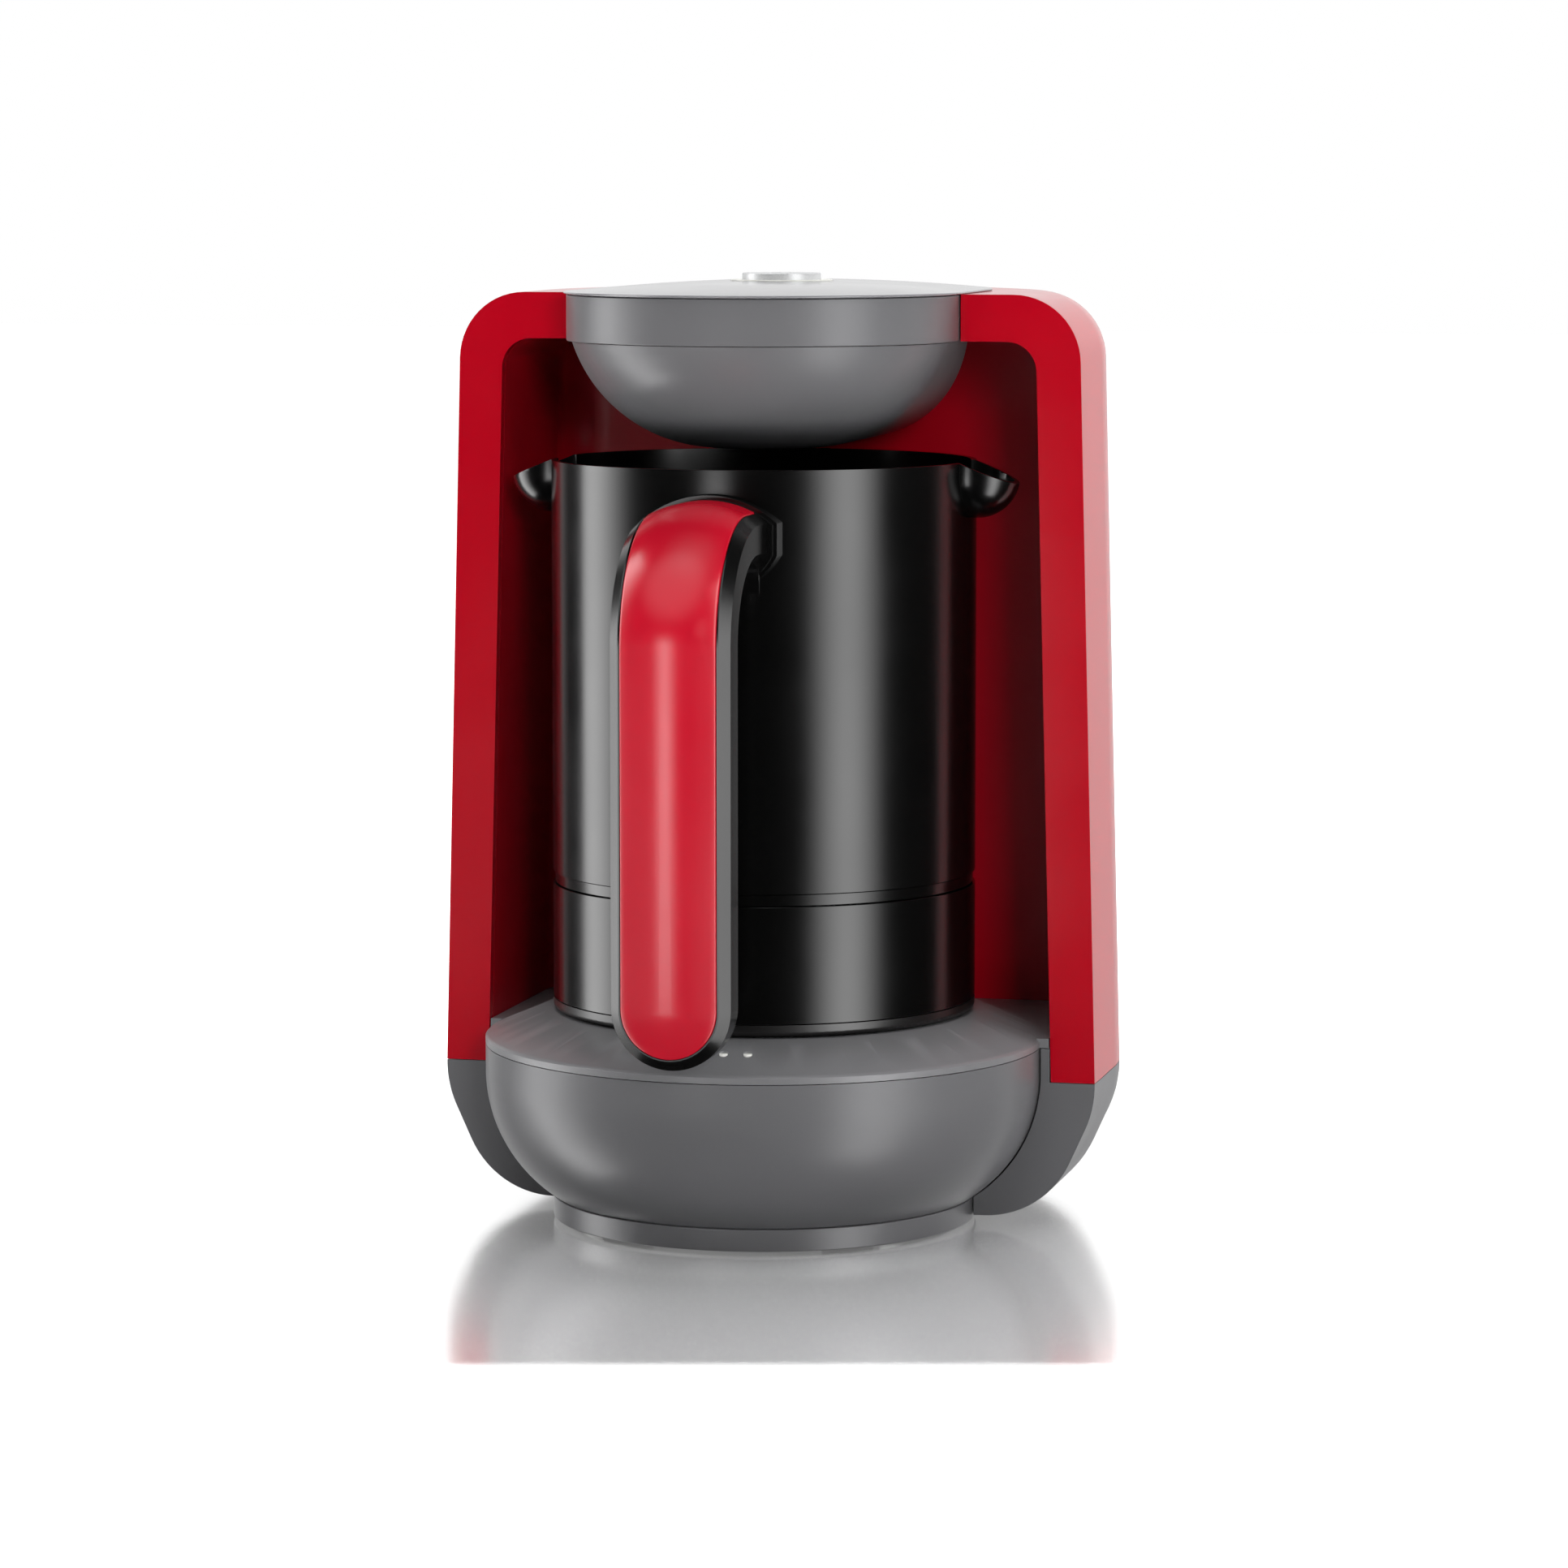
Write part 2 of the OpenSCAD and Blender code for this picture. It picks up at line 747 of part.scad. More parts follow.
// Clear window of the foam sensor
module sensor_window() color("#303038") on_axis() {
    cylinder_at(window_d / 2, head_low + seam, head_wall - seam);
    cylinder_at(window_d / 2 + window_t / 2, head_low + head_wall, window_t / 2);
}

// Board that looks down through the window
module sensor_board() color("#1f6a3a") on_axis() {
    translate([-window_d / 4, -window_d / 4, sensor_board_z - sensor_gap])
        cube([window_d / 2, window_d / 2, sensor_gap]);
    translate([-sensor_board_w / 2, -sensor_board_w / 2, sensor_board_z])
        cube([sensor_board_w, sensor_board_w, pcb_t]);
}

// Domed grey lid between the arms, with bosses for the board under it
module top_lid() color("#6f6f6f") on_axis() difference() {
    union() {
        lid_dome();
        difference() {
            lid_layer(lid_skirt_r, lid_z - lid_skirt_h, lid_skirt_h + seam);
            lid_layer(lid_skirt_r - lid_skirt_t, lid_z - lid_skirt_h - over, lid_skirt_h + over);
        }
        board_places() cylinder_at(boss_d / 2, spring_low, lid_z + seam - spring_low);
    }
    translate([0, button_back, 0]) cylinder_at(ring_d / 2 + seam, lid_z - over, lid_crown + lid_edge + over * 2);
    board_places() cylinder_at(screw_d / 2, control_board_z, screw_len);
}

// Plate with round ends under the lid
module lid_layer(r, z, h) {
    translate([0, 0, z]) linear_extrude(h) stadium(r, lid_run);
}

// Dome with round ends: half a cap in front, a straight vault, half a cap at the back
module lid_dome() {
    translate([0, 0, lid_z]) {
        rotate([0, 0, 180]) rotate_extrude(angle = 180) lid_outline();
        translate([0, lid_run, 0]) {
            rotate_extrude(angle = 180) lid_outline();
            rotate([90, 0, 0]) linear_extrude(lid_run) both_sides() lid_outline();
        }
    }
}

// Right half of the lid's crowned outline
module lid_outline() {
    polygon(concat([[0, 0], [lid_r, 0]], [
        for (i = [lid_steps : -1 : 0]) let(x = lid_r * i / lid_steps)
            [x, lid_edge + lid_crown - lid_dome_r + sqrt(lid_dome_r * lid_dome_r - x * x)]
    ]));
}

// Round start button with a dished top, a flange and a stem
module start_button() color("#d8d8d8") on_axis() translate([0, button_back, 0]) difference() {
    union() {
        cylinder_at(button_d / 2, button_flange_z, button_top - button_flange_z);
        cylinder_at(button_d / 2 + button_flange_w, button_flange_z, button_flange_h);
        cylinder_at(stem_d / 2, stem_low, button_flange_z - stem_low + over);
    }
    translate([0, 0, button_top - dish_depth + dish_r]) sphere(dish_r, $fn = 360);
}

// Helical spring under the button, one unbroken wire from the board to the flange
module button_spring() color("#b8b8b8") on_axis()
translate([0, button_back, spring_low + spring_wire / 2 + seam]) {
    r = (spring_d - spring_wire) / 2;
    rings = spring_turns * spring_steps;
    points = [
        for (i = [0 : rings], j = [0 : spring_sides - 1])
            let(a = 360 * i / spring_steps, b = 360 * j / spring_sides, w = r + spring_wire / 2 * cos(b))
            [w * cos(a), w * sin(a), spring_pitch * i / spring_steps + spring_wire / 2 * sin(b)]
    ];
    sides = [
        for (i = [0 : rings - 1], j = [0 : spring_sides - 1])
            let(k = (j + 1) % spring_sides, m = i * spring_sides, n = m + spring_sides)
            each [[m + j, n + j, n + k], [m + j, n + k, m + k]]
    ];
    ends = [
        [for (j = [0 : spring_sides - 1]) j],
        [for (j = [spring_sides - 1 : -1 : 0]) rings * spring_sides + j]
    ];
    polyhedron(points, concat(sides, ends));
}

// Light ring round the button, held in the lid
module light_ring() color("#f0f0f0") on_axis() translate([0, button_back, 0])
    cylinder_ring(ring_d / 2, button_hole_d / 2, ring_z, ring_h);

// Push switch under the button
module push_switch() color("#303030") on_axis() translate([0, button_back, control_board_z + pcb_t]) {
    translate([-switch_w / 2, -switch_w / 2, 0]) cube([switch_w, switch_w, switch_h * 3 / 4]);
    cylinder(d = stem_d, h = switch_h);
}

// Board under the lid
module control_board() color("#1f6a3a") on_axis() difference() {
    translate([-control_board_w / 2, control_board_y - control_board_l / 2, control_board_z])
        cube([control_board_w, control_board_l, pcb_t]);
    board_places() cylinder_at((screw_d + slip) / 2, control_board_z - over, pcb_t + over * 2);
}

module board_places() {
    for (x = [-1, 1], y = [-1, 1])
        translate([x * (control_board_w / 2 - board_inset),
            control_board_y + y * (control_board_l / 2 - board_inset), 0]) children();
}

module board_screws() color("#9a9a9a") on_axis()
    board_places() translate([0, 0, control_board_z - screw_head_h]) screw(screw_len - screw_head_h);

module buzzer() color("#202020") on_axis()
    translate([0, button_back - spring_d / 2 - buzzer_gap - buzzer_d / 2, control_board_z + pcb_t])
        cylinder(d = buzzer_d, h = buzzer_h);

// Power board low in the back of the shroud
module power_board() color("#1f6a3a") on_axis()
    translate([-board_w / 2, board_y - board_l / 2, board_z]) cube([board_w, board_l, pcb_t]);

module standoffs() color("#c8b060") on_axis()
    for (x = [-1, 1], y = [-1, 1])
        translate([x * standoff_x, board_y + y * board_l / 4, floor_gap + wall])
            cylinder(d = standoff_d, h = standoff_h);

module relay() color("#2a4a9a") on_axis()
    translate([relay_x, board_y - relay_l / 2, board_z + pcb_t]) cube([relay_w, relay_l, relay_h]);

module capacitor() color("#c8a020") on_axis()
    translate([cap_x, board_y, board_z + pcb_t]) cylinder(d = cap_d, h = cap_h);

module terminal_block() color("#e0e0e0") on_axis()
    translate([block_x, board_y - block_l / 2, board_z + pcb_t]) cube([block_w, block_l, block_h]);

// Wires from the power board up behind the niche and forward to the control board
module wire_harness() color("#303030") on_axis() translate([harness_x, harness_y, 0]) {
    low = board_z + pcb_t + seam;
    front = control_board_y + control_board_l / 2 - harness_lap;
    translate([0, 0, low]) cylinder(d = harness_d, h = harness_z - harness_bend - low);
    translate([0, -harness_bend, harness_z - harness_bend]) rotate([90, 0, 90])
        rotate_extrude(angle = 90) translate([harness_bend, 0]) circle(d = harness_d);
    translate([0, -harness_bend, harness_z]) rotate([90, 0, 0])
        cylinder(d = harness_d, h = harness_y - harness_bend - front);
}

// Bushing that the mains cord enters by
module cord_inlet() color("#202020") on_axis() translate([0, inlet_face, inlet_z]) rotate([-90, 0, 0])
    difference() {
        union() {
            cylinder(d = inlet_flange_d, h = inlet_flange_t);
            cylinder_at(inlet_d / 2, -inlet_len, inlet_len + over);
        }
        cylinder_at(inlet_bore / 2, -inlet_len - over, inlet_len + inlet_flange_t + over * 2);
    }

// Socket in the back wall of the niche
module socket_body(d) {
    w = plug_w + 2 * socket_margin;
    h = plug_h;
    translate([-w / 2 - d, socket_face, plug_z - d]) cube([w + 2 * d, socket_depth, h + 2 * d]);
}

module pin_places() {
    for (i = [-1 : 1]) translate([i * pin_pitch, 0, plug_z + plug_h / 2]) children();
}

module pot_socket() color("#202020") on_axis() difference() {
    socket_body(0);
    pin_places() translate([0, socket_face - over, 0]) rotate([-90, 0, 0])
        cylinder(d = contact_d + seam, h = contact_from - socket_face + contact_len + over);
}

module socket_contacts() color("#c8a040") on_axis()
    pin_places() translate([0, contact_from, 0]) rotate([-90, 0, 0]) difference() {
        cylinder(d = contact_d, h = contact_len);
        translate([0, 0, -over]) cylinder(d = contact_bore, h = contact_len + over * 2);
    }

// Spout as a round trough beside the rim, moved in by d
module spout(d) {
    translate([spout_out, 0, spout_z]) {
        sphere(spout_r - d);
        cylinder(r = spout_r - d, h = spout_rise + over);
    }
}

// Black vessel with a spout on each side, its lip sloping down from the rim
module pot_vessel() color("#141414") on_axis() difference() {
    union() {
        cylinder_at(pot_r, pot_seam_h, pot_rim_h + over - pot_seam_h);
        both_sides() spout(0);
    }
    cylinder_at(pot_r - pot_wall, pot_floor, pot_rim_h);
    cylinder_at(pot_r + spout_r * 2, pot_rim_h, spout_r);
    both_sides() {
        spout(pot_wall);
        translate([pot_r - pot_wall, 0, pot_rim_h]) rotate([0, lip_angle, 0])
            translate([0, -spout_r - over, 0]) cube([spout_r * 2, 2 * (spout_r + over), spout_r]);
    }
}

// Bead between the vessel and its heater housing
module seam_bead() color("#101010") on_axis()
    cylinder_ring(pot_r - bead_recess, pot_r - skirt_t * 2, skirt_top + seam, bead_h - 2 * seam);

// Black housing round the heater
module heater_housing() color("#141414") on_axis() difference() {
    low = pot_low + cover_t + seam;
    union() {
        cylinder_ring(pot_r, pot_r - skirt_t, low, skirt_top - low);
        base_screw_places() cylinder_at(cover_boss_d / 2, low + seam, cover_boss_h);
    }
    base_screw_places() cylinder_at(screw_d / 2, low - over, cover_boss_h + over * 2);
    translate([-plug_w / 2 - slip, 0, plug_z - slip])
        cube([plug_w + 2 * slip, pot_r + over, plug_h + 2 * slip]);
}

// Aluminium plate that carries the heat into the vessel
module heater_plate() color("#b8b8b8") on_axis()
    cylinder_at(heater_plate_r, heater_plate_z, heater_plate_t);

// Tubular element under the plate, with its two upright ends
module heating_element() color("#7a6a60") on_axis() translate([0, 0, element_z]) {
    rotate_extrude(angle = element_sweep) translate([element_r, 0]) circle(d = element_d);
    for (a = [0, element_sweep]) rotate([0, 0, a]) translate([element_r, 0, -element_tail])
        cylinder(d = element_d / 2, h = element_tail);
}

module thermostat() color("#d0c8b0") on_axis() {
    low = heater_plate_z - seam - thermostat_h;
    cylinder_at(thermostat_d / 2, low, thermostat_h);
    for (s = [-1, 1]) translate([s * thermostat_d / 4 - thermostat_tab_t / 2, -thermostat_tab / 2,
        low - thermostat_tab])
        cube([thermostat_tab_t, thermostat_tab, thermostat_tab]);
}

// Plug at the back of the heater housing
module pot_plug() color("#181818") on_axis() difference() {
    translate([-plug_w / 2, plug_face - plug_depth, plug_z]) cube([plug_w, plug_depth, plug_h]);
    pin_places() translate([0, plug_face - plug_depth - over, 0]) rotate([-90, 0, 0])
        cylinder(d = pin_d + seam, h = plug_depth + over * 2);
}

module plug_pins() color("#c8c8c8") on_axis()
    pin_places() translate([0, plug_face - pin_root, 0]) rotate([-90, 0, 0]) {
        cylinder(d = pin_d, h = pin_root + pin_len - pin_d / 2);
        translate([0, 0, pin_root + pin_len - pin_d / 2]) sphere(d = pin_d);
    }

// Round cover under the heater housing
module pot_base_cover() color("#141414") on_axis() difference() {
    rotate_extrude() union() {
        square_from(0, pot_low, pot_r - cover_edge_r, cover_t);
        square_from(0, pot_low + cover_edge_r, pot_r, cover_t - cover_edge_r);
        translate([pot_r - cover_edge_r, pot_low + cover_edge_r]) circle(cover_edge_r);
    }
    base_screw_places() {
        cylinder_at((screw_d + slip) / 2, pot_low - over, cover_t + over * 2);
        cylinder_at((screw_head_d + slip) / 2, pot_low - over, over + screw_head_h + seam * 2);
    }
}

module square_from(x, y, w, h) {
    translate([x, y]) square([w, h]);
}

module base_screw_places() {
    for (a = [30 : 120 : 270]) rotate([0, 0, a]) translate([cover_screw_r, 0, 0]) children();
}

module pot_base_screws() color("#9a9a9a") on_axis()
    base_screw_places() translate([0, 0, pot_low + seam]) screw(screw_len);

// Outline of the pad that the handle stands on, moved in by d
module pad_outline(d) {
    intersection() {
        translate([0, pad_top - pad_top_r]) circle(pad_top_r - d);
        translate([0, pad_foot_z]) circle(pad_foot_r - d);
        translate([-pad_half + d, bend_z]) square([2 * (pad_half - d), handle_bend_r + pad_edge * 2]);
    }
}

// Pad on the front of the pot with a bevelled edge
module handle_pad() color("#101010") on_axis() difference() {
    rotate([90, 0, 0]) {
        linear_extrude(pad_face - pad_edge) pad_outline(0);
        linear_extrude(pad_face) pad_outline(pad_edge);
    }
    cylinder_at(pot_r + inlay_gap, 0, pot_rim_h);
    handle_screw_places() {
        cylinder_at((screw_d + slip) / 2, 0, pad_t * 2);
        cylinder_at((screw_head_d + slip) / 2, -over, over + screw_head_h + seam * 2);
    }
}

// Two places behind the pad, with +Z toward the handle
module handle_screw_places() {
    for (s = [-1, 1]) translate([s * handle_screw_pitch / 2, -pot_r, handle_screw_z]) rotate([90, 0, 0])
        children();
}

// Cross-section of the black handle: x across, y out from the bend's axis
module grip_section() {
    half = handle_w / 2;
    groove = inlay_w / 2 + inlay_gap;
    difference() {
        polygon([
            [-half + grip_edge, grip_back_r],
            [half - grip_edge, grip_back_r],
            [half, grip_back_r + grip_edge],
            [half, bevel_top_r - bevel_drop],
            [half - bevel_w, bevel_top_r],
            [-half + bevel_w, bevel_top_r],
            [-half, bevel_top_r - bevel_drop],
            [-half, grip_back_r + grip_edge]
        ]);
        translate([-groove, inlay_low_r - inlay_gap]) square([2 * groove, handle_t]);
    }
}

// Cross-section of the red inlay with its crowned front
module inlay_section() {
    intersection() {
        translate([0, handle_bend_r - inlay_crown_r]) circle(inlay_crown_r);
        translate([-inlay_w / 2, inlay_low_r]) square([inlay_w, inlay_crown + inlay_edge_t]);
    }
}

// Carries a cross-section over the top, round the bend, down the grip and round its end
module handle_sweep(from, end_z) {
    translate([0, -from, bend_z]) rotate([90, 0, 0]) linear_extrude(bend_y - from) children();
    translate([0, -bend_y, bend_z]) rotate([180, 0, 0]) rotate([0, 90, 0])
        rotate_extrude(angle = 90) mirror([1, -1]) children();
    translate([0, -bend_y, end_z]) linear_extrude(bend_z - end_z) mirror([0, 1]) children();
    translate([0, -bend_y, end_z]) rotate([-90, 0, 0]) rotate_extrude(angle = 180)
        intersection() {
            mirror([0, 1]) children();
            translate([0, -handle_reach]) square([handle_w, handle_reach]);
        }
}

// Black body of the handle
module handle_body() color("#101010") on_axis() difference() {
    union() {
        handle_sweep(pad_face + seam, handle_end_z) grip_section();
        translate([-handle_w / 2 + grip_edge, -bend_y, bend_z + grip_back_r - neck_fillet])
            difference() {
                cube([handle_w - 2 * grip_edge, bend_y - pad_face - seam, neck_fillet]);
                translate([-over, 0, 0]) rotate([0, 90, 0]) cylinder(r = neck_fillet, h = handle_w);
            }
    }
    handle_screw_places() cylinder_at(screw_d / 2, 0, screw_len + screw_head_h + over);
}

// Red crowned inlay
module handle_inlay() color("#c0142c") on_axis()
    handle_sweep(pad_face + seam * 2, handle_end_z) inlay_section();

module handle_screws() color("#9a9a9a") on_axis()
    handle_screw_places() translate([0, 0, seam * 2]) screw(screw_len);

outer_shell();
niche_liner();
lower_shroud();
base_bowl();
deck_plate();
foot_ring();
bottom_cover();
rubber_feet();
bottom_screws();
deck_lights();
head_band();
head_bowl();
sensor_window();
sensor_board();
top_lid();
start_button();
button_spring();
light_ring();
push_switch();
control_board();
board_screws();
buzzer();
power_board();
relay();
capacitor();
terminal_block();
standoffs();
wire_harness();
cord_inlet();
pot_socket();
socket_contacts();
pot_vessel();
seam_bead();
heater_housing();
heater_plate();
heating_element();
thermostat();
pot_plug();
plug_pins();
pot_base_cover();
pot_base_screws();
handle_pad();
handle_body();
handle_inlay();
handle_screws();
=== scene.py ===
import math

import bmesh
import bpy
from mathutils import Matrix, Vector


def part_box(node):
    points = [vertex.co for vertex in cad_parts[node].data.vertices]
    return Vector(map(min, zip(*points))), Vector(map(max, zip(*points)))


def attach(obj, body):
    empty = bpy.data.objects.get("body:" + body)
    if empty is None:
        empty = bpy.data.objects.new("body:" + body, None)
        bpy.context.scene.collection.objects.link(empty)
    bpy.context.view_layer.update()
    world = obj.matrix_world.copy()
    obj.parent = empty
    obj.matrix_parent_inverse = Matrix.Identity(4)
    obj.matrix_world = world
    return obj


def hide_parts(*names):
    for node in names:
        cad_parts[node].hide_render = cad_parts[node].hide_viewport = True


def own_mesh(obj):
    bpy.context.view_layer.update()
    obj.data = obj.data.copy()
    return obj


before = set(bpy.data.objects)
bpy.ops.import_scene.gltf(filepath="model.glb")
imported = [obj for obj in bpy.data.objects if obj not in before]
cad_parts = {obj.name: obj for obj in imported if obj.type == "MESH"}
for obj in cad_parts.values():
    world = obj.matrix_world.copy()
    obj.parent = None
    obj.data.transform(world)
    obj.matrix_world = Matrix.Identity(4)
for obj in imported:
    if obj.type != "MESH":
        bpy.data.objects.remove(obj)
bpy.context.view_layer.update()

# Camera: a long lens a little above the pot's middle and to the right of its
# handle, as the photograph was taken. Distances are from the pot's upright axis.
camera_turn = math.radians(13.52)
camera_rise = math.radians(6.43)
camera_distance = 1.19596
camera_aim_right = 0.00425
camera_aim_up = 0.09365

# the pot stands over the middle of the round foot
foot_low, foot_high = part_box("foot_ring")
pot_axis = Vector(((foot_low.x + foot_high.x) / 2, (foot_low.y + foot_high.y) / 2, 0))


def outward(turn, rise=0.0):
    """Direction that is turned from the front (-Y) towards the right and lifted."""
    return Vector(
        (
            math.sin(turn) * math.cos(rise),
            -math.cos(turn) * math.cos(rise),
            math.sin(rise),
        )
    )


camera_data = bpy.data.cameras.new("camera")
camera_data.lens = 128.0
camera_data.sensor_width = 36.0
camera_data.clip_start = 0.05
camera = bpy.data.objects.new("camera", camera_data)
bpy.context.scene.collection.objects.link(camera)
camera_aim = pot_axis + Vector(
    (
        camera_aim_right * math.cos(camera_turn),
        camera_aim_right * math.sin(camera_turn),
        camera_aim_up,
    )
)
toward_camera = outward(camera_turn, camera_rise)
camera.location = camera_aim + toward_camera * camera_distance
camera.rotation_euler = toward_camera.to_track_quat("Z", "Y").to_euler()
bpy.context.scene.camera = camera
bpy.context.scene.view_settings.view_transform = "Standard"

# Surroundings: a white room to the eye. In gloss it is dark in front and white
# behind and overhead, so that black gloss stays black towards the camera while
# the sides and the upper bends pick up the white.


def linear(hex_colour):
    """sRGB hex colour as linear red, green, blue and alpha."""
    values = [int(hex_colour[i : i + 2], 16) / 255 for i in (1, 3, 5)]
    return [
        v / 12.92 if v <= 0.04045 else ((v + 0.055) / 1.055) ** 2.4 for v in values
    ] + [1.0]


def add(tree, kind, settings=None, links=None):
    """Adds a node, sets its inputs or properties, and links sources to its inputs.

    A key is the number or name of an input, or else a property. A source is an output,
    or a node whose first output is meant."""
    node = tree.nodes.new(kind)
    for key, value in (settings or {}).items():
        if isinstance(key, int) or key in node.inputs:
            node.inputs[key].default_value = value
        else:
            setattr(node, key, value)
    for key, source in (links or {}).items():
        output = source.outputs[0] if hasattr(source, "outputs") else source
        tree.links.new(output, node.inputs[key])
    return node


def new_material(name):
    """Empty material with its node tree and output node."""
    material = bpy.data.materials.new(name)
    material.use_nodes = True
    material.node_tree.nodes.clear()
    return material, material.node_tree, add(material.node_tree, "ShaderNodeOutputMaterial")


def put(name, mesh, material):
    """New object in the scene for a mesh with its material."""
    piece = bpy.data.objects.new(name, mesh)
    bpy.context.scene.collection.objects.link(piece)
    mesh.materials.append(material)
    return piece


world = bpy.data.worlds.new("white_surroundings")
bpy.context.scene.world = world
world.use_nodes = True
sky = world.node_tree
sky.nodes.clear()
room_light = 0.12
gloss_dark = 0.015
# how far a reflected ray has to point behind, down or up for each step of the white
white_behind = (0.45, 0.75)
white_below = (-0.25, 0.1)
white_below_share = 0.62
white_above = (0.35, 0.7)
white_above_share = 0.1
sky_path = add(sky, "ShaderNodeLightPath")
sky_place = add(sky, "ShaderNodeTexCoord")
sky_axes = add(sky, "ShaderNodeSeparateXYZ", links={0: sky_place.outputs["Generated"]})
sky_behind = add(
    sky,
    "ShaderNodeMapRange",
    {
        "From Min": white_behind[0],
        "From Max": white_behind[1],
        "To Min": 0.0,
        "To Max": 1.0,
        "interpolation_type": "SMOOTHSTEP",
    },
    {0: sky_axes.outputs["Y"]},
)
# the white behind reaches half way up, and is dimmer towards and under the table
sky_under = add(
    sky,
    "ShaderNodeMapRange",
    {
        "From Min": white_below[0],
        "From Max": white_below[1],
        "To Min": white_below_share,
        "To Max": 1.0,
    },
    {0: sky_axes.outputs["Z"]},
)
sky_over = add(
    sky,
    "ShaderNodeMapRange",
    {
        "From Min": white_above[0],
        "From Max": white_above[1],
        "To Min": 1.0,
        "To Max": white_above_share,
        "interpolation_type": "SMOOTHSTEP",
    },
    {0: sky_axes.outputs["Z"]},
)
sky_level = add(sky, "ShaderNodeMath", {"operation": "MULTIPLY"}, {0: sky_under, 1: sky_over})
sky_back = add(sky, "ShaderNodeMath", {"operation": "MULTIPLY"}, {0: sky_behind, 1: sky_level})
# a soft patch high in front lights the handle's bend and the rims
high_turn = math.radians(-13.5)
high_rise = math.radians(50)
high_nearness = (0.8, 0.96)
high_light = 1.4
sky_nearness = add(
    sky,
    "ShaderNodeVectorMath",
    {"operation": "DOT_PRODUCT", 1: outward(high_turn, high_rise)},
    {0: sky_place.outputs["Generated"]},
)
sky_high = add(
    sky,
    "ShaderNodeMapRange",
    {
        "From Min": high_nearness[0],
        "From Max": high_nearness[1],
        "To Min": gloss_dark,
        "To Max": high_light,
        "interpolation_type": "SMOOTHSTEP",
    },
    {0: sky_nearness.outputs["Value"]},
)
sky_reflected = add(
    sky, "ShaderNodeMath", {"operation": "MAXIMUM"}, {0: sky_back, 1: sky_high}
)
sky_seen = add(
    sky,
    "ShaderNodeMath",
    {"operation": "MAXIMUM"},
    {0: sky_path.outputs["Is Camera Ray"], 1: sky_path.outputs["Is Transmission Ray"]},
)
sky_gloss = add(
    sky,
    "ShaderNodeMix",
    {"data_type": "FLOAT", 2: room_light},
    {0: sky_path.outputs["Is Glossy Ray"], 3: sky_reflected},
)
sky_strength = add(
    sky,
    "ShaderNodeMix",
    {"data_type": "FLOAT", 3: 1.0},
    {0: sky_seen, 2: sky_gloss},
)
sky_light = add(
    sky, "ShaderNodeBackground", {"Color": linear("#ffffff")}, {"Strength": sky_strength}
)
add(sky, "ShaderNodeOutputWorld", links={0: sky_light})

# Table: white lacquer with a soft mirror of the object at low angles. The
# polish ends a little way in front of the object and fades out round it, and
# the board is seen only from above, so that views from below show the feet.
table_reach = 6.0
table_mesh = bpy.data.meshes.new("table")
table_mesh.from_pydata(
    [(x * table_reach, y * table_reach, 0) for x, y in ((-1, -1), (1, -1), (1, 1), (-1, 1))],
    [],
    [(0, 1, 2, 3)],
)
lacquer, lacquer_tree, lacquer_out = new_material("white_lacquered_table")
mirror_front = 0.146
mirror_fade = 0.012
mirror_share = 0.96
mirror_blur = 0.17
polish_radius = 0.17
polish_fade = 0.07
# share of the Facing weight between which the polish appears
polish_facing = (0.4, 0.84)
table_gap = 0.0002
table_place = add(lacquer_tree, "ShaderNodeTexCoord")
table_nearness = add(
    lacquer_tree,
    "ShaderNodeVectorMath",
    {"operation": "DOT_PRODUCT", 1: outward(camera_turn)},
    {0: table_place.outputs["Object"]},
)
mirror_reach = add(
    lacquer_tree,
    "ShaderNodeMapRange",
    {
        "From Min": mirror_front,
        "From Max": mirror_front + mirror_fade,
        "To Min": mirror_share,
        "To Max": 0.0,
        "interpolation_type": "SMOOTHSTEP",
    },
    {0: table_nearness.outputs["Value"]},
)
table_radius = add(
    lacquer_tree,
    "ShaderNodeVectorMath",
    {"operation": "LENGTH"},
    {0: table_place.outputs["Object"]},
)
polish_round = add(
    lacquer_tree,
    "ShaderNodeMapRange",
    {
        "From Min": polish_radius,
        "From Max": polish_radius + polish_fade,
        "To Min": 1.0,
        "To Max": 0.0,
        "interpolation_type": "SMOOTHSTEP",
    },
    {0: table_radius.outputs["Value"]},
)
table_slant = add(lacquer_tree, "ShaderNodeLayerWeight", {"Blend": 0.5})
polish_slant = add(
    lacquer_tree,
    "ShaderNodeMapRange",
    {"From Min": polish_facing[0], "From Max": polish_facing[1], "To Min": 0.0, "To Max": 1.0},
    {0: table_slant.outputs["Facing"]},
)
polish_seen = add(
    lacquer_tree,
    "ShaderNodeMath",
    {"operation": "MULTIPLY"},
    {0: polish_round, 1: polish_slant},
)
table_path = add(lacquer_tree, "ShaderNodeLightPath")
mirror_near = add(
    lacquer_tree,
    "ShaderNodeMath",
    {"operation": "MULTIPLY"},
    {0: mirror_reach, 1: table_path.outputs["Is Camera Ray"]},
)
mirror_seen = add(
    lacquer_tree,
    "ShaderNodeMath",
    {"operation": "MULTIPLY"},
    {0: mirror_near, 1: polish_seen},
)
table_mirror = add(
    lacquer_tree,
    "ShaderNodeBsdfGlossy",
    {"Color": linear("#ffffff"), "Roughness": mirror_blur},
)
table_body = add(lacquer_tree, "ShaderNodeBsdfDiffuse", {"Color": linear("#d8d8d8")})
table_glow = add(
    lacquer_tree,
    "ShaderNodeEmission",
    {"Color": linear("#ffffff")},
    {"Strength": table_path.outputs["Is Camera Ray"]},
)
table_white = add(lacquer_tree, "ShaderNodeAddShader", links={0: table_body, 1: table_glow})
table_mixed = add(
    lacquer_tree, "ShaderNodeMixShader", links={0: mirror_seen, 1: table_white, 2: table_mirror}
)
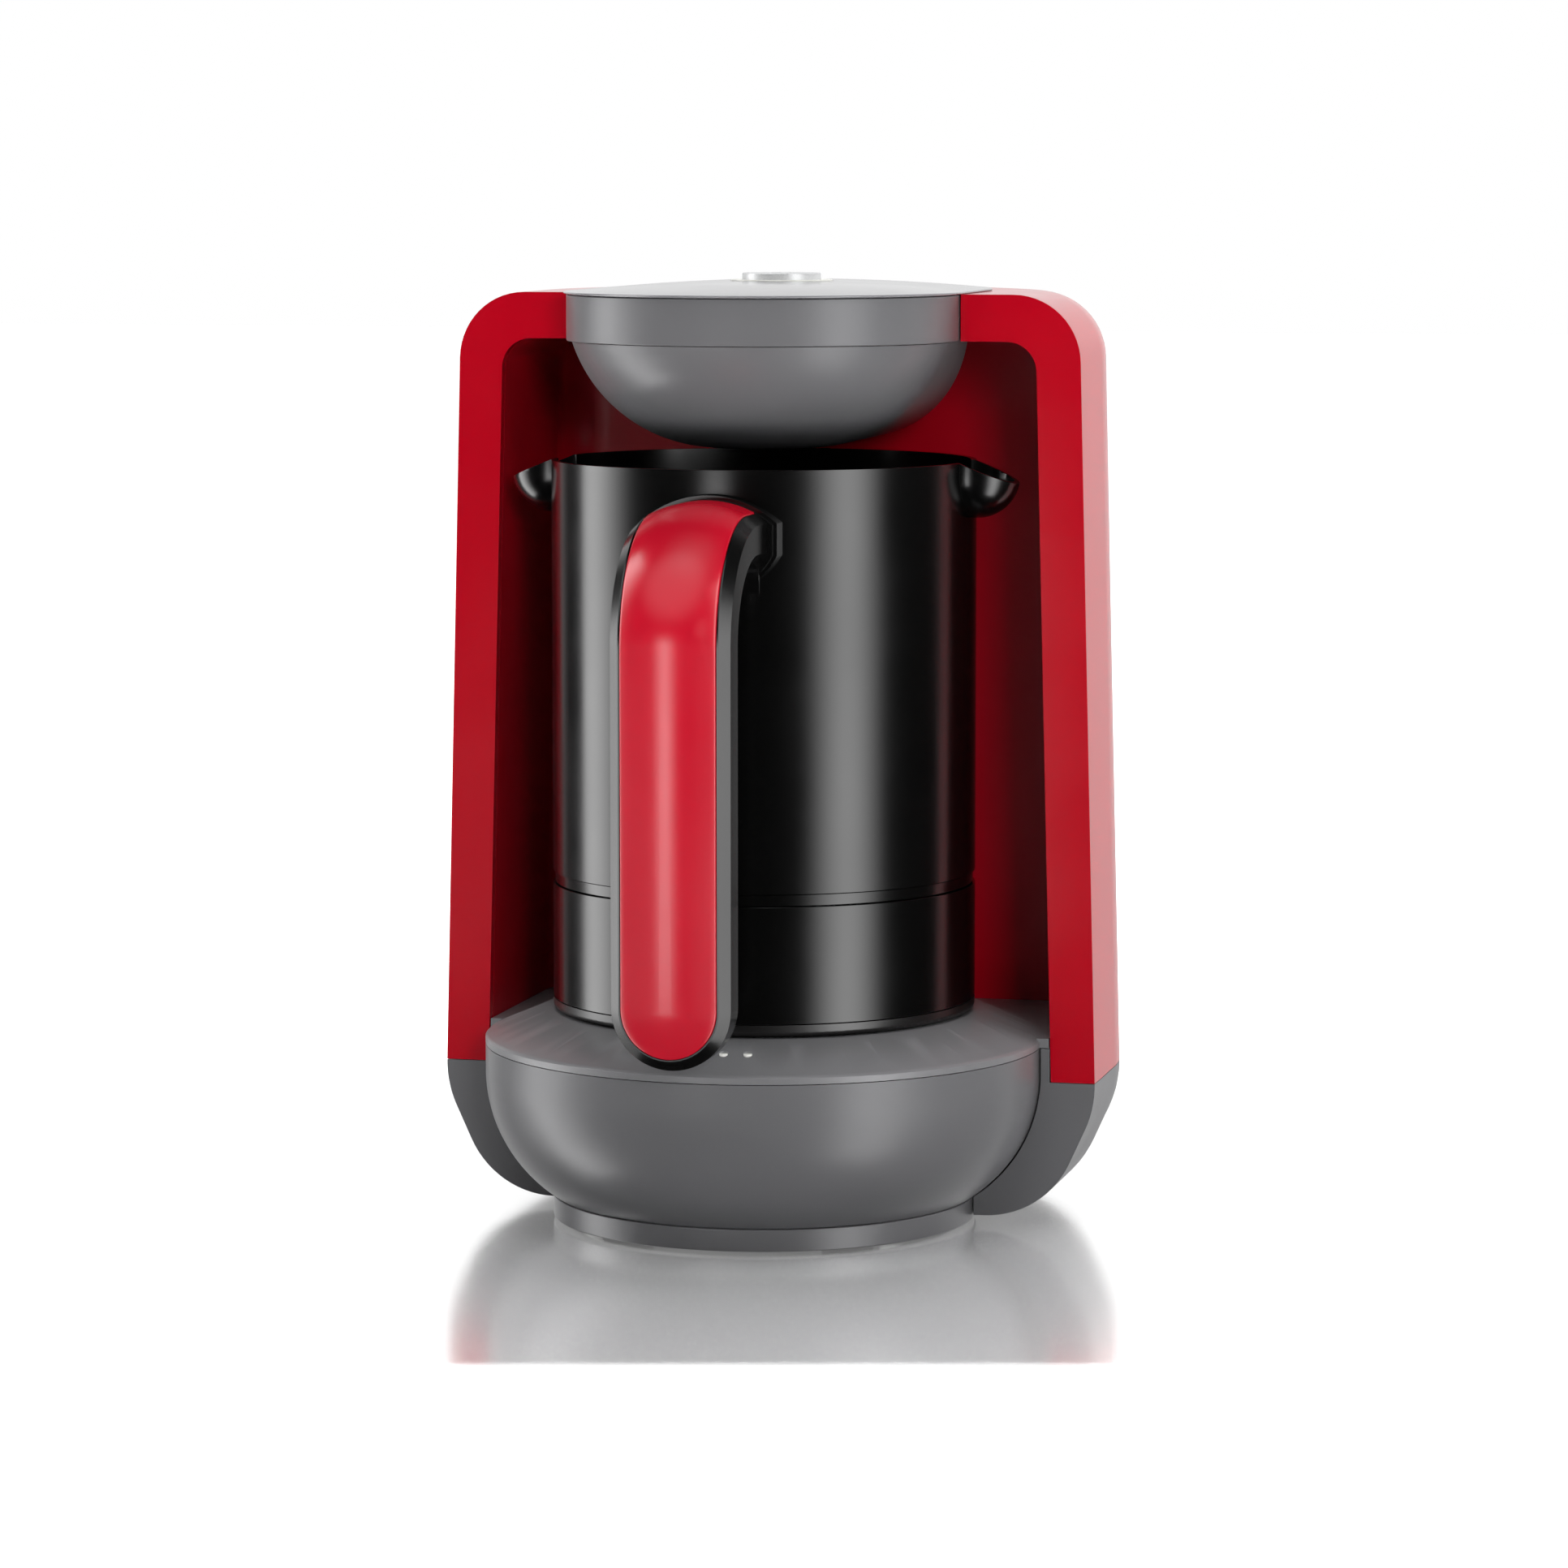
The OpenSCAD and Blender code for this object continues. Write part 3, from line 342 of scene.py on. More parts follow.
table_side = add(lacquer_tree, "ShaderNodeNewGeometry")
table_open = add(lacquer_tree, "ShaderNodeBsdfTransparent", {"Color": linear("#ffffff")})
table_above = add(
    lacquer_tree,
    "ShaderNodeMixShader",
    links={0: table_side.outputs["Backfacing"], 1: table_mixed, 2: table_open},
)
lacquer_tree.links.new(table_above.outputs[0], lacquer_out.inputs["Surface"])
table = put("table", table_mesh, lacquer)
table.location = pot_axis - Vector((0, 0, table_gap))
table.visible_glossy = False

# White walls that only the table mirrors: from every side its polish then shows
# the object on white, and the object itself doesn't see them.
table_only = bpy.data.collections.new("table_only")
table_only.objects.link(table)
wall_white = 0.8
wall_side = 8.0
wall_distance = 4.0
for wall_name, wall_turn, wall_rise in (
    ("wall_front", 0, 0),
    ("wall_left", -90, 0),
    ("wall_right", 90, 0),
    ("wall_overhead", 0, 90),
):
    wall_light = bpy.data.lights.new(wall_name, "AREA")
    wall_light.size = wall_side
    wall_light.energy = math.pi * wall_side * wall_side * wall_white
    wall = bpy.data.objects.new(wall_name, wall_light)
    bpy.context.scene.collection.objects.link(wall)
    wall_direction = outward(math.radians(wall_turn), math.radians(wall_rise))
    wall.location = pot_axis + wall_direction * wall_distance
    wall.rotation_euler = wall_direction.to_track_quat("Z", "Y").to_euler()
    wall.visible_camera = False
    wall.visible_diffuse = False
    wall.light_linking.receiver_collection = table_only

# Softboxes: upright cards of white cloth that only gloss shows. Their bands of
# light run down the pot, the head's band and the base. The short card in front
# of the handle is low and narrow, so that only the handle's inlay shows it.


def softbox(name, turn, distance, half_angle, low, high, strength, peak):
    """Upright card that fades sideways from its peak, -1 its left edge and 1 its right."""
    half = distance * math.tan(half_angle)
    mesh = bpy.data.meshes.new(name)
    mesh.from_pydata(
        [(-half, 0, low), (half, 0, low), (half, 0, high), (-half, 0, high)], [], [(0, 1, 2, 3)]
    )
    material, tree, out = new_material(name + "_cloth")
    place = add(tree, "ShaderNodeTexCoord")
    axes = add(tree, "ShaderNodeSeparateXYZ", links={0: place.outputs["Object"]})
    shifted = add(
        tree, "ShaderNodeMath", {"operation": "SUBTRACT", 1: peak * half}, {0: axes.outputs["X"]}
    )
    aside = add(tree, "ShaderNodeMath", {"operation": "ABSOLUTE"}, {0: shifted})
    fall = add(
        tree,
        "ShaderNodeMapRange",
        {
            "From Min": 0.0,
            "From Max": half * (1 + abs(peak)),
            "To Min": strength,
            "To Max": 0.0,
            "interpolation_type": "SMOOTHSTEP",
        },
        {0: aside},
    )
    glow = add(tree, "ShaderNodeEmission", {"Color": linear("#ffffff")}, {"Strength": fall})
    tree.links.new(glow.outputs[0], out.inputs["Surface"])
    card = put(name, mesh, material)
    card.location = pot_axis + outward(turn) * distance
    card.rotation_euler = (0, 0, turn)
    card.visible_camera = False
    card.visible_diffuse = False
    card.visible_shadow = False


softbox_light = 6.0
for box_name, box_turn, box_distance, box_half_angle, box_low, box_high, box_peak in (
    ("softbox_right", 58, 1.0, 25, -1.0, 1.2, 0.0),
    ("softbox_left", -78, 0.9, 21, -1.0, 1.2, -0.5),
    ("softbox_handle", -10.5, 0.3, 10.5, 0.018, 0.148, 0.0),
):
    softbox(
        box_name,
        math.radians(box_turn),
        box_distance,
        math.radians(box_half_angle),
        box_low,
        box_high,
        softbox_light,
        box_peak,
    )

# Lamps: large, soft, and not shown in gloss. Together with the room they light
# the object so that a colour comes out about as it is written.
lamp_aim_height = 0.1


def lamp(name, turn, rise, distance, width, height, power):
    """Soft lamp aimed at the object's middle, in that direction and distance from it."""
    data = bpy.data.lights.new(name, "AREA")
    data.shape = "RECTANGLE"
    data.size = width
    data.size_y = height
    data.energy = power
    lit = bpy.data.objects.new(name, data)
    bpy.context.scene.collection.objects.link(lit)
    direction = outward(turn, rise)
    lit.location = pot_axis + Vector((0, 0, lamp_aim_height)) + direction * distance
    lit.rotation_euler = direction.to_track_quat("Z", "Y").to_euler()
    lit.visible_glossy = False
    lit.visible_camera = False
    return lit


# turn and rise in degrees, distance, width and height in metres, power in watts
for lamp_name, lamp_turn, lamp_rise, *lamp_sizes_and_power in (
    ("front_lamp", 24, 13, 1.6, 0.25, 0.35, 7.6),
    ("left_lamp", -105, 12, 1.6, 0.6, 0.7, 14.0),
    ("right_lamp", 112, 12, 1.6, 0.6, 0.7, 17.5),
    ("top_lamp", 10, 78, 1.4, 0.8, 0.8, 14.5),
    ("back_lamp", 170, 40, 1.8, 1.0, 1.0, 13.0),
):
    lamp(lamp_name, math.radians(lamp_turn), math.radians(lamp_rise), *lamp_sizes_and_power)
# two glowing boards low over the table in front lift the underside of the head
board_tilt = math.radians(172)
board_height = 0.025
board_distance = 0.38
board_width = 0.3
board_depth = 0.2
board_power = 1.05
for board_name, board_turn in (
    ("floor_board_right", math.radians(38)),
    ("floor_board_left", math.radians(-38)),
):
    floor_board = lamp(
        board_name, board_turn, 0.0, board_distance, board_width, board_depth, board_power
    )
    floor_board.location.z = board_height
    floor_board.rotation_euler = (board_tilt, 0, board_turn)

# Red shell: an arch-shaped housing of ABS, injection moulded in a polished tool
# together with its flat front bands, and clipped onto the grey shroud below.
round_limit = math.radians(32)
weld_reach = 0.000005
flat_limit = math.radians(0.6)


def dress(name, material, edge=0.3, steps=2):
    """Gives a CAD node its material and rounds its sharp edges by edge millimetres, in
    that many steps."""
    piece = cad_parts[name]
    mesh = piece.data
    mesh.materials.clear()
    mesh.materials.append(material)
    mesh.shade_smooth()
    mesh.set_sharp_from_angle(angle=round_limit)
    weld = piece.modifiers.new("weld", "WELD")
    weld.merge_threshold = weld_reach
    if edge:
        flat = piece.modifiers.new("flat_faces", "DECIMATE")
        flat.decimate_type = "DISSOLVE"
        flat.angle_limit = flat_limit
        bevel = piece.modifiers.new("edge", "BEVEL")
        bevel.width = edge / 1000
        bevel.segments = steps
        bevel.limit_method = "ANGLE"
        bevel.angle_limit = round_limit
        bevel.harden_normals = True
        even = piece.modifiers.new("even_faces", "WEIGHTED_NORMAL")
        even.keep_sharp = True


# a noise texture's values lie mostly between these two
noise_low = 0.3
noise_high = 0.7


def moulded(name, colour, roughness, wave=2.2, relief=0.004, mottle=0.03, index=1.54):
    """Moulded or coated surface. wave and relief are the width and height of its faint
    unevenness in millimetres, and mottle is how much its colour varies."""
    material, tree, out = new_material(name)
    place = add(tree, "ShaderNodeTexCoord").outputs["Object"]
    waves = add(
        tree,
        "ShaderNodeTexNoise",
        {"Scale": 1000 / wave, "Detail": 2.0, "Roughness": 0.45},
        {"Vector": place},
    )
    flow_width = 26.0
    haze = 0.12
    flow = add(
        tree, "ShaderNodeTexNoise", {"Scale": 1000 / flow_width, "Detail": 3.0}, {"Vector": place}
    )
    tone = linear(colour)
    shade = add(
        tree,
        "ShaderNodeMix",
        {
            "data_type": "RGBA",
            6: [v * (1 - mottle) for v in tone[:3]] + [1.0],
            7: [v * (1 + mottle) for v in tone[:3]] + [1.0],
        },
        {0: flow},
    )
    gloss = add(
        tree,
        "ShaderNodeMapRange",
        {
            "From Min": noise_low,
            "From Max": noise_high,
            "To Min": roughness * (1 - haze),
            "To Max": roughness * (1 + haze),
        },
        {0: flow},
    )
    bump = add(
        tree, "ShaderNodeBump", {"Strength": 1.0, "Distance": relief / 1000}, {"Height": waves}
    )
    skin = add(
        tree,
        "ShaderNodeBsdfPrincipled",
        {"IOR": index},
        {"Base Color": shade.outputs[2], "Roughness": gloss, "Normal": bump},
    )
    tree.links.new(skin.outputs[0], out.inputs["Surface"])
    return material


# polished ABS: deep even red, a clear but slightly wavy gloss from the tool
polished_red_abs = moulded("polished_red_abs", "#a90016", 0.16, index=1.5)
dress("outer_shell", polished_red_abs, 0.35)

# Lining of the niche: a thinner moulding of the same red ABS, pushed in from the
# front until its edge lies behind the arch's band. Its tool was only satin.
# satin ABS: the same red, with the reflections of the room washed out
satin_red_abs = moulded("satin_red_abs", "#ac0018", 0.42, relief=0.006)
dress("niche_liner", satin_red_abs, 0.2)

# Grey lower mouldings: the shroud under the seam, the round bowl at the front and
# the foot ring, of satin ABS, screwed together from below.
# satin grey ABS: nearly flat mid grey, with soft wide highlights
satin_grey_abs = moulded("satin_grey_abs", "#5f5f61", 0.32, index=1.4)
dress("lower_shroud", satin_grey_abs, 0.3)
dress("base_bowl", satin_grey_abs, 0.25)
dress("foot_ring", satin_grey_abs, 0.3)

# Deck: the plate that closes the bowl, with the raised cone that the pot stands
# on. Heat-resistant ABS, a touch lighter and finely textured against scratches.
# textured ABS: the spark-eroded grain breaks the highlight up a little
textured_deck_abs = moulded("textured_deck_abs", "#6c6c6e", 0.36, wave=0.6, relief=0.008)
dress("deck_plate", textured_deck_abs, 0.35)

# Head: the upright band round its front and the bowl over the pot, two mouldings
# of the same satin grey ABS as the base, clipped together at the line between.
dress("head_band", satin_grey_abs, 0.25)
dress("head_bowl", satin_grey_abs, 0.25)

# Lid: the shallow dome on top between the arch's arms, ABS from a mirror-polished
# tool, clipped into the head from above.
# polished grey ABS: seen along the surface it mirrors the white room
polished_grey_abs = moulded("polished_grey_abs", "#77777a", 0.14, relief=0.002, index=1.54)
dress("top_lid", polished_grey_abs, 0.25)

# Status lights: two light guides of polycarbonate pressed into the deck from below,
# and a third, ring-shaped one pressed into the lid round the button.
# frosted polycarbonate: milky white end faces, lit by the room alone
frosted_polycarbonate = moulded(
    "frosted_polycarbonate", "#dcdcd6", 0.35, wave=0.4, relief=0.004, mottle=0.01, index=1.58
)
dress("deck_lights", frosted_polycarbonate, 0.1)
dress("light_ring", frosted_polycarbonate, 0.15)

# Start button: an ABS cap with a shallow dish, sprayed with silver paint, on a
# spring over the push switch. Its skirt drops into the light ring.
silver_paint, silver_tree, silver_out = new_material("satin_silver_paint")
silver_place = add(silver_tree, "ShaderNodeTexCoord").outputs["Object"]
# aluminium flakes in the paint, drawn as coarse as they need to be to show
flake_width = 0.22
silver_flakes = add(
    silver_tree,
    "ShaderNodeTexVoronoi",
    {"Scale": 1000 / flake_width},
    {"Vector": silver_place},
)
silver_shade = add(
    silver_tree,
    "ShaderNodeMix",
    {"data_type": "RGBA", 6: linear("#c3c4c6"), 7: linear("#dedfe0")},
    {0: silver_flakes.outputs["Distance"]},
)
silver_gloss = add(
    silver_tree,
    "ShaderNodeMapRange",
    {"From Min": 0.0, "From Max": 0.8, "To Min": 0.34, "To Max": 0.5},
    {0: silver_flakes.outputs["Distance"]},
)
silver_skin = add(
    silver_tree,
    "ShaderNodeBsdfPrincipled",
    {"Metallic": 0.35, "Coat Weight": 0.3, "Coat Roughness": 0.2},
    {"Base Color": silver_shade.outputs[2], "Roughness": silver_gloss},
)
silver_tree.links.new(silver_skin.outputs[0], silver_out.inputs["Surface"])
dress("start_button", silver_paint, 0.2)


def bare_metal(
    name, colour, tint, roughness, grain=0.3, stretch=(1, 1, 1), depth=0.001, patch=5.0
):
    """Metal surface: colour and tint alternate in patches, and its grain runs along the
    axis with the smallest stretch. grain, depth and patch are in millimetres."""
    material, tree, out = new_material(name)
    place = add(tree, "ShaderNodeTexCoord").outputs["Object"]
    along = add(tree, "ShaderNodeMapping", {"Scale": stretch}, {"Vector": place})
    lines = add(
        tree, "ShaderNodeTexNoise", {"Scale": 1000 / grain, "Detail": 2.0}, {"Vector": along}
    )
    patches = add(
        tree, "ShaderNodeTexNoise", {"Scale": 1000 / patch, "Detail": 2.0}, {"Vector": place}
    )
    shade = add(
        tree,
        "ShaderNodeMix",
        {"data_type": "RGBA", 6: linear(colour), 7: linear(tint)},
        {0: patches},
    )
    gloss = add(
        tree,
        "ShaderNodeMapRange",
        {
            "From Min": noise_low,
            "From Max": noise_high,
            "To Min": roughness * 0.8,
            "To Max": roughness * 1.25,
        },
        {0: lines},
    )
    bump = add(
        tree, "ShaderNodeBump", {"Strength": 1.0, "Distance": depth / 1000}, {"Height": lines}
    )
    skin = add(
        tree,
        "ShaderNodeBsdfPrincipled",
        {"Metallic": 1.0},
        {"Base Color": shade.outputs[2], "Roughness": gloss, "Normal": bump},
    )
    tree.links.new(skin.outputs[0], out.inputs["Surface"])
    return material


# Return spring under the button: drawn steel wire, wound with two open turns
# between a closed turn at each end. It presses together as the button goes down,
# so this piece stands for the CAD model's even coil, which can't shorten.
# drawn spring steel: grey with a slight brown cast from heat setting
drawn_spring_steel = bare_metal("drawn_spring_steel", "#a9a9ab", "#968f88", 0.3, grain=0.2)
spring_wire = 0.0008
spring_open_turns = 2
spring_turns = spring_open_turns + 2
turn_steps = 28
wire_sides = 12
spring_low, spring_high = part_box("button_spring")
spring_middle = (spring_low + spring_high) / 2
spring_radius = (spring_high.x - spring_low.x - spring_wire) / 2
spring_length = spring_high.z - spring_low.z
# the closed turns lie almost on each other
closed_pitch = spring_wire * 1.02
open_pitch = (spring_length - spring_wire - 2 * closed_pitch) / spring_open_turns
coil = bmesh.new()
coil_rings = []
for step in range(spring_turns * turn_steps + 1):
    turned_by = step / turn_steps
    risen = (
        closed_pitch * min(turned_by, 1.0)
        + open_pitch * min(max(turned_by - 1.0, 0.0), spring_open_turns)
        + closed_pitch * max(turned_by - 1.0 - spring_open_turns, 0.0)
    )
    heading = 2 * math.pi * turned_by
    ring = []
    for side in range(wire_sides):
        around = 2 * math.pi * side / wire_sides
        reach = spring_radius + spring_wire / 2 * math.cos(around)
        ring.append(
            coil.verts.new(
                (
                    spring_middle.x + reach * math.cos(heading),
                    spring_middle.y + reach * math.sin(heading),
                    spring_low.z + spring_wire / 2 * (1 + math.sin(around)) + risen,
                )
            )
        )
    coil_rings.append(ring)
for ring, following in zip(coil_rings, coil_rings[1:]):
    for side in range(wire_sides):
        beside = (side + 1) % wire_sides
        coil.faces.new((ring[side], following[side], following[beside], ring[beside]))
coil.faces.new(coil_rings[0])
coil.faces.new(tuple(reversed(coil_rings[-1])))
bmesh.ops.recalc_face_normals(coil, faces=coil.faces)
coil_mesh = bpy.data.meshes.new("wound_spring")
coil.to_mesh(coil_mesh)
coil.free()
coil_mesh.shade_smooth()
coil_mesh.set_sharp_from_angle(angle=round_limit)
wound_spring = put("wound_spring", coil_mesh, drawn_spring_steel)
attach(wound_spring, "body")
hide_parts("button_spring")
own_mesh(wound_spring)

# Push switch and buzzer: small components with housings of black PBT, soldered to
# the control board.
# glass-filled PBT: matt black, with the glass fibres just showing as pale specks
glass_filled_pbt = moulded(
    "glass_filled_pbt", "#232324", 0.5, wave=0.35, relief=0.01, mottle=0.14, index=1.55
)
dress("push_switch", glass_filled_pbt, 0.15)
dress("buzzer", glass_filled_pbt, 0.25)


# Circuit boards: glass-epoxy laminate with copper tracks under a green solder
# mask. The control board is screwed under the lid, the sensor board over its window.
def solder_mask(name, colour, track_colour, pitch):
    """Green lacquer over copper: tracks lie between cells of this pitch in millimetres."""
    track_edge = (0.42, 0.46)
    material, tree, out = new_material(name)
    place = add(tree, "ShaderNodeTexCoord").outputs["Object"]
    cells = add(
        tree,
        "ShaderNodeTexVoronoi",
        {"feature": "F1", "distance": "CHEBYCHEV", "Scale": 1000 / pitch, "Randomness": 0.55},
        {"Vector": place},
    )
    tracks = add(
        tree,
        "ShaderNodeMapRange",
        {"From Min": track_edge[0], "From Max": track_edge[1], "To Min": 0.0, "To Max": 1.0},
        {0: cells.outputs["Distance"]},
    )
    weave_pitch = 0.8
    weave_shade = 0.88
    weave = add(
        tree, "ShaderNodeTexChecker", {"Scale": 1000 / weave_pitch}, {"Vector": place}
    )
    tone = linear(colour)
    laminate = add(
        tree,
        "ShaderNodeMix",
        {"data_type": "RGBA", 6: tone, 7: [v * weave_shade for v in tone[:3]] + [1.0]},
        {0: weave.outputs["Fac"]},
    )
    shade = add(
        tree,
        "ShaderNodeMix",
        {"data_type": "RGBA", 7: linear(track_colour)},
        {0: tracks, 6: laminate.outputs[2]},
    )
    copper_height = 0.035
    bump = add(
        tree,
        "ShaderNodeBump",
        {"Strength": 1.0, "Distance": copper_height / 1000},
        {"Height": tracks},
    )
    skin = add(
        tree,
        "ShaderNodeBsdfPrincipled",
        {"Roughness": 0.28, "IOR": 1.55},
        {"Base Color": shade.outputs[2], "Normal": bump},
    )
    tree.links.new(skin.outputs[0], out.inputs["Surface"])
    return material


# green solder mask: glossy, lighter where it lies on copper
green_solder_mask = solder_mask("green_solder_mask", "#14512c", "#2a7a44", 3.2)
for board in ("control_board", "sensor_board", "power_board"):
    dress(board, green_solder_mask, 0)

# Foam sensor's window: a small disc of smoked acrylic snapped into the bottom of
# the head's bowl, through which the sensor looks down into the pot.
# smoked acrylic: nearly black, with a sharp gloss and a little depth
smoked_acrylic, acrylic_tree, acrylic_out = new_material("smoked_acrylic")
acrylic_place = add(acrylic_tree, "ShaderNodeTexCoord").outputs["Object"]
cloud_width = 3.0
acrylic_cloud = add(
    acrylic_tree, "ShaderNodeTexNoise", {"Scale": 1000 / cloud_width}, {"Vector": acrylic_place}
)
acrylic_gloss = add(
    acrylic_tree, "ShaderNodeMapRange", {"To Min": 0.04, "To Max": 0.12}, {0: acrylic_cloud}
)
acrylic = add(
    acrylic_tree,
    "ShaderNodeBsdfPrincipled",
    {"Base Color": linear("#3a3238"), "IOR": 1.49, "Transmission Weight": 0.35},
    {"Roughness": acrylic_gloss},
)
acrylic_tree.links.new(acrylic.outputs[0], acrylic_out.inputs["Surface"])
dress("sensor_window", smoked_acrylic, 0.2)


# Screws: steel, cold-headed and zinc plated, driven into moulded bosses. Their
# threads are rolled, which leaves even ridges along the shank.
def ridge_scale(width):
    """Scale at which the wave texture draws ridges of this width in millimetres, with
    grooves as wide between them."""
    return 1000 / width / 20 * math.pi


def threaded(name, axis):
    """Zinc-plated steel with rolled ridges across this axis; sizes in millimetres."""
    ridge_width = 0.9
    ridge_height = 0.12
    material, tree, out = new_material(name)
    place = add(tree, "ShaderNodeTexCoord").outputs["Object"]
    ridges = add(
        tree,
        "ShaderNodeTexWave",
        {"bands_direction": axis, "Scale": ridge_scale(ridge_width), "Detail": 0.0},
        {"Vector": place},
    )
    spangle_width = 0.9
    spangle = add(
        tree, "ShaderNodeTexVoronoi", {"Scale": 1000 / spangle_width}, {"Vector": place}
    )
    shade = add(
        tree,
        "ShaderNodeMix",
        {"data_type": "RGBA", 6: linear("#b4b7bb"), 7: linear("#cfcfc8")},
        {0: spangle.outputs["Distance"]},
    )
    gloss = add(
        tree,
        "ShaderNodeMapRange",
        {"To Min": 0.24, "To Max": 0.4},
        {0: spangle.outputs["Distance"]},
    )
    bump = add(
        tree,
        "ShaderNodeBump",
        {"Strength": 0.6, "Distance": ridge_height / 1000},
        {"Height": ridges.outputs["Fac"]},
    )
    skin = add(
        tree,
        "ShaderNodeBsdfPrincipled",
        {"Metallic": 1.0},
        {"Base Color": shade.outputs[2], "Roughness": gloss, "Normal": bump},
    )
    tree.links.new(skin.outputs[0], out.inputs["Surface"])
    return material


# zinc-plated steel: cool pale grey with a faint spangle
zinc_upright = threaded("zinc_plated_steel_upright", "Z")
zinc_level = threaded("zinc_plated_steel_level", "Y")
for screws in ("board_screws", "bottom_screws", "pot_base_screws"):
    dress(screws, zinc_upright, 0.1, 1)
dress("handle_screws", zinc_level, 0.1, 1)

# Power board's parts: four brass standoffs that carry it, and on it a relay, a
# smoothing capacitor and the terminal block of the mains lead.
# turned brass: warm yellow, drawn lines along the rod
drawn_brass = bare_metal("drawn_brass", "#c9a24e", "#b48a3c", 0.28, 0.25, (1, 1, 0.1))
dress("standoffs", drawn_brass, 0.15)
# potted relay case: glossy blue-black PBT with slight sink marks
glossy_blue_pbt = moulded("glossy_blue_pbt", "#1c3c78", 0.22, wave=4.0, relief=0.03, mottle=0.06)
dress("relay", glossy_blue_pbt, 0.4)
# terminal polyamide: slightly translucent, pale and a little dry
natural_polyamide = moulded(
    "natural_polyamide", "#cfcdc2", 0.45, wave=0.7, relief=0.006, index=1.53
)
dress("terminal_block", natural_polyamide, 0.4)
# film capacitor: wound film in a glossy yellow case, potted with dull resin on top
cap_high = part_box("capacitor")[1]
film_case, case_tree, case_out = new_material("glossy_yellow_film_case")
case_place = add(case_tree, "ShaderNodeTexCoord").outputs["Object"]
case_axes = add(case_tree, "ShaderNodeSeparateXYZ", links={0: case_place})
resin_depth = 0.0004
crease_width = 2.5
crease_height = 0.02
case_top = add(
    case_tree,
    "ShaderNodeMath",
    {"operation": "GREATER_THAN", 1: cap_high.z - resin_depth},
    {0: case_axes.outputs["Z"]},
)
case_creases = add(
    case_tree,
    "ShaderNodeTexNoise",
    {"Scale": 1000 / crease_width, "Detail": 2.0},
    {"Vector": case_place},
)
case_shade = add(
    case_tree,
    "ShaderNodeMix",
    {"data_type": "RGBA", 6: linear("#b98a14"), 7: linear("#d6a824")},
    {0: case_creases},
)
case_bump = add(
    case_tree,
    "ShaderNodeBump",
    {"Strength": 1.0, "Distance": crease_height / 1000},
    {"Height": case_creases},
)
case_skin = add(
    case_tree,
    "ShaderNodeBsdfPrincipled",
    {"Roughness": 0.22, "IOR": 1.55},
    {"Base Color": case_shade.outputs[2], "Normal": case_bump},
)
case_resin = add(
    case_tree,
    "ShaderNodeBsdfPrincipled",
    {"Base Color": linear("#8c7440"), "Roughness": 0.45, "IOR": 1.55},
    {"Normal": case_bump},
)
case_mixed = add(
    case_tree, "ShaderNodeMixShader", links={0: case_top, 1: case_skin, 2: case_resin}
)
case_tree.links.new(case_mixed.outputs[0], case_out.inputs["Surface"])
dress("capacitor", film_case, 0.3)

# Wire harness: the leads from the power board up to the control board, drawn
# through one woven glass-fibre sleeve that keeps them off the warm niche wall.
woven_glass, woven_tree, woven_out = new_material("woven_glass_sleeve")
woven_place = add(woven_tree, "ShaderNodeTexCoord").outputs["Object"]
yarn_width = 0.7
yarn_height = 0.12
yarns = []
for tilt in (45, -45):
    turned_place = add(
        woven_tree,
        "ShaderNodeMapping",
        {"Rotation": (math.radians(tilt), math.radians(tilt), 0)},
        {"Vector": woven_place},
    )
    yarns.append(
        add(
            woven_tree,
            "ShaderNodeTexWave",
            {"bands_direction": "Z", "Scale": ridge_scale(yarn_width), "Distortion": 0.4},
            {"Vector": turned_place},
        )
    )
# height of the weave: it drives the bump, and it is also the mask for the painted shade in the
# grooves below
woven_height = add(
    woven_tree,
    "ShaderNodeMath",
    {"operation": "MULTIPLY"},
    {0: yarns[0].outputs["Fac"], 1: yarns[1].outputs["Fac"]},
)
# pale glass yarn with painted shade: the colour darkens to grey-brown in the grooves where the
# weave dips
yarn_colour_and_painted_groove_shade = add(
    woven_tree,
    "ShaderNodeMix",
    {"data_type": "RGBA", 6: linear("#6d6a60"), 7: linear("#d8d4c4")},
    {0: woven_height},
)
woven_bump = add(
    woven_tree,
    "ShaderNodeBump",
    {"Strength": 1.0, "Distance": yarn_height / 1000},
    {"Height": woven_height},
)
woven_skin = add(
    woven_tree,
    "ShaderNodeBsdfPrincipled",
    {"Roughness": 0.7, "IOR": 1.5, "Sheen Weight": 0.2},
    {"Base Color": yarn_colour_and_painted_groove_shade.outputs[2], "Normal": woven_bump},
)
woven_tree.links.new(woven_skin.outputs[0], woven_out.inputs["Surface"])
dress("wire_harness", woven_glass, 0)

# Socket in the niche's back wall: black PBT with three spring contacts that take
# the pot's pins.
dress("pot_socket", glass_filled_pbt, 0.3)
# silvered bronze: pale warm metal, rolled lines along the sleeve
silvered_bronze = bare_metal("silvered_bronze", "#cdbf9c", "#d9d4c6", 0.25, 0.2, (1, 0.1, 1))
dress("socket_contacts", silvered_bronze, 0.08, 1)

# Cord inlet: the bushing in the back wall that the mains cord enters by, moulded
# of soft PVC and pressed in from outside.
# soft PVC: black, smooth and slightly greasy in its gloss
soft_black_pvc = moulded("soft_black_pvc", "#161617", 0.38, wave=1.2, relief=0.008, mottle=0.08)
dress("cord_inlet", soft_black_pvc, 0.25)

# Underside: a vented cover of dark textured polypropylene, held by three screws,
# and four rubber feet pushed into pockets.
# textured polypropylene: charcoal with an even leather-like grain
textured_polypropylene = moulded(
    "textured_polypropylene", "#2b2b2c", 0.55, wave=0.7, relief=0.03, mottle=0.06, index=1.49
)
dress("bottom_cover", textured_polypropylene, 0.25)
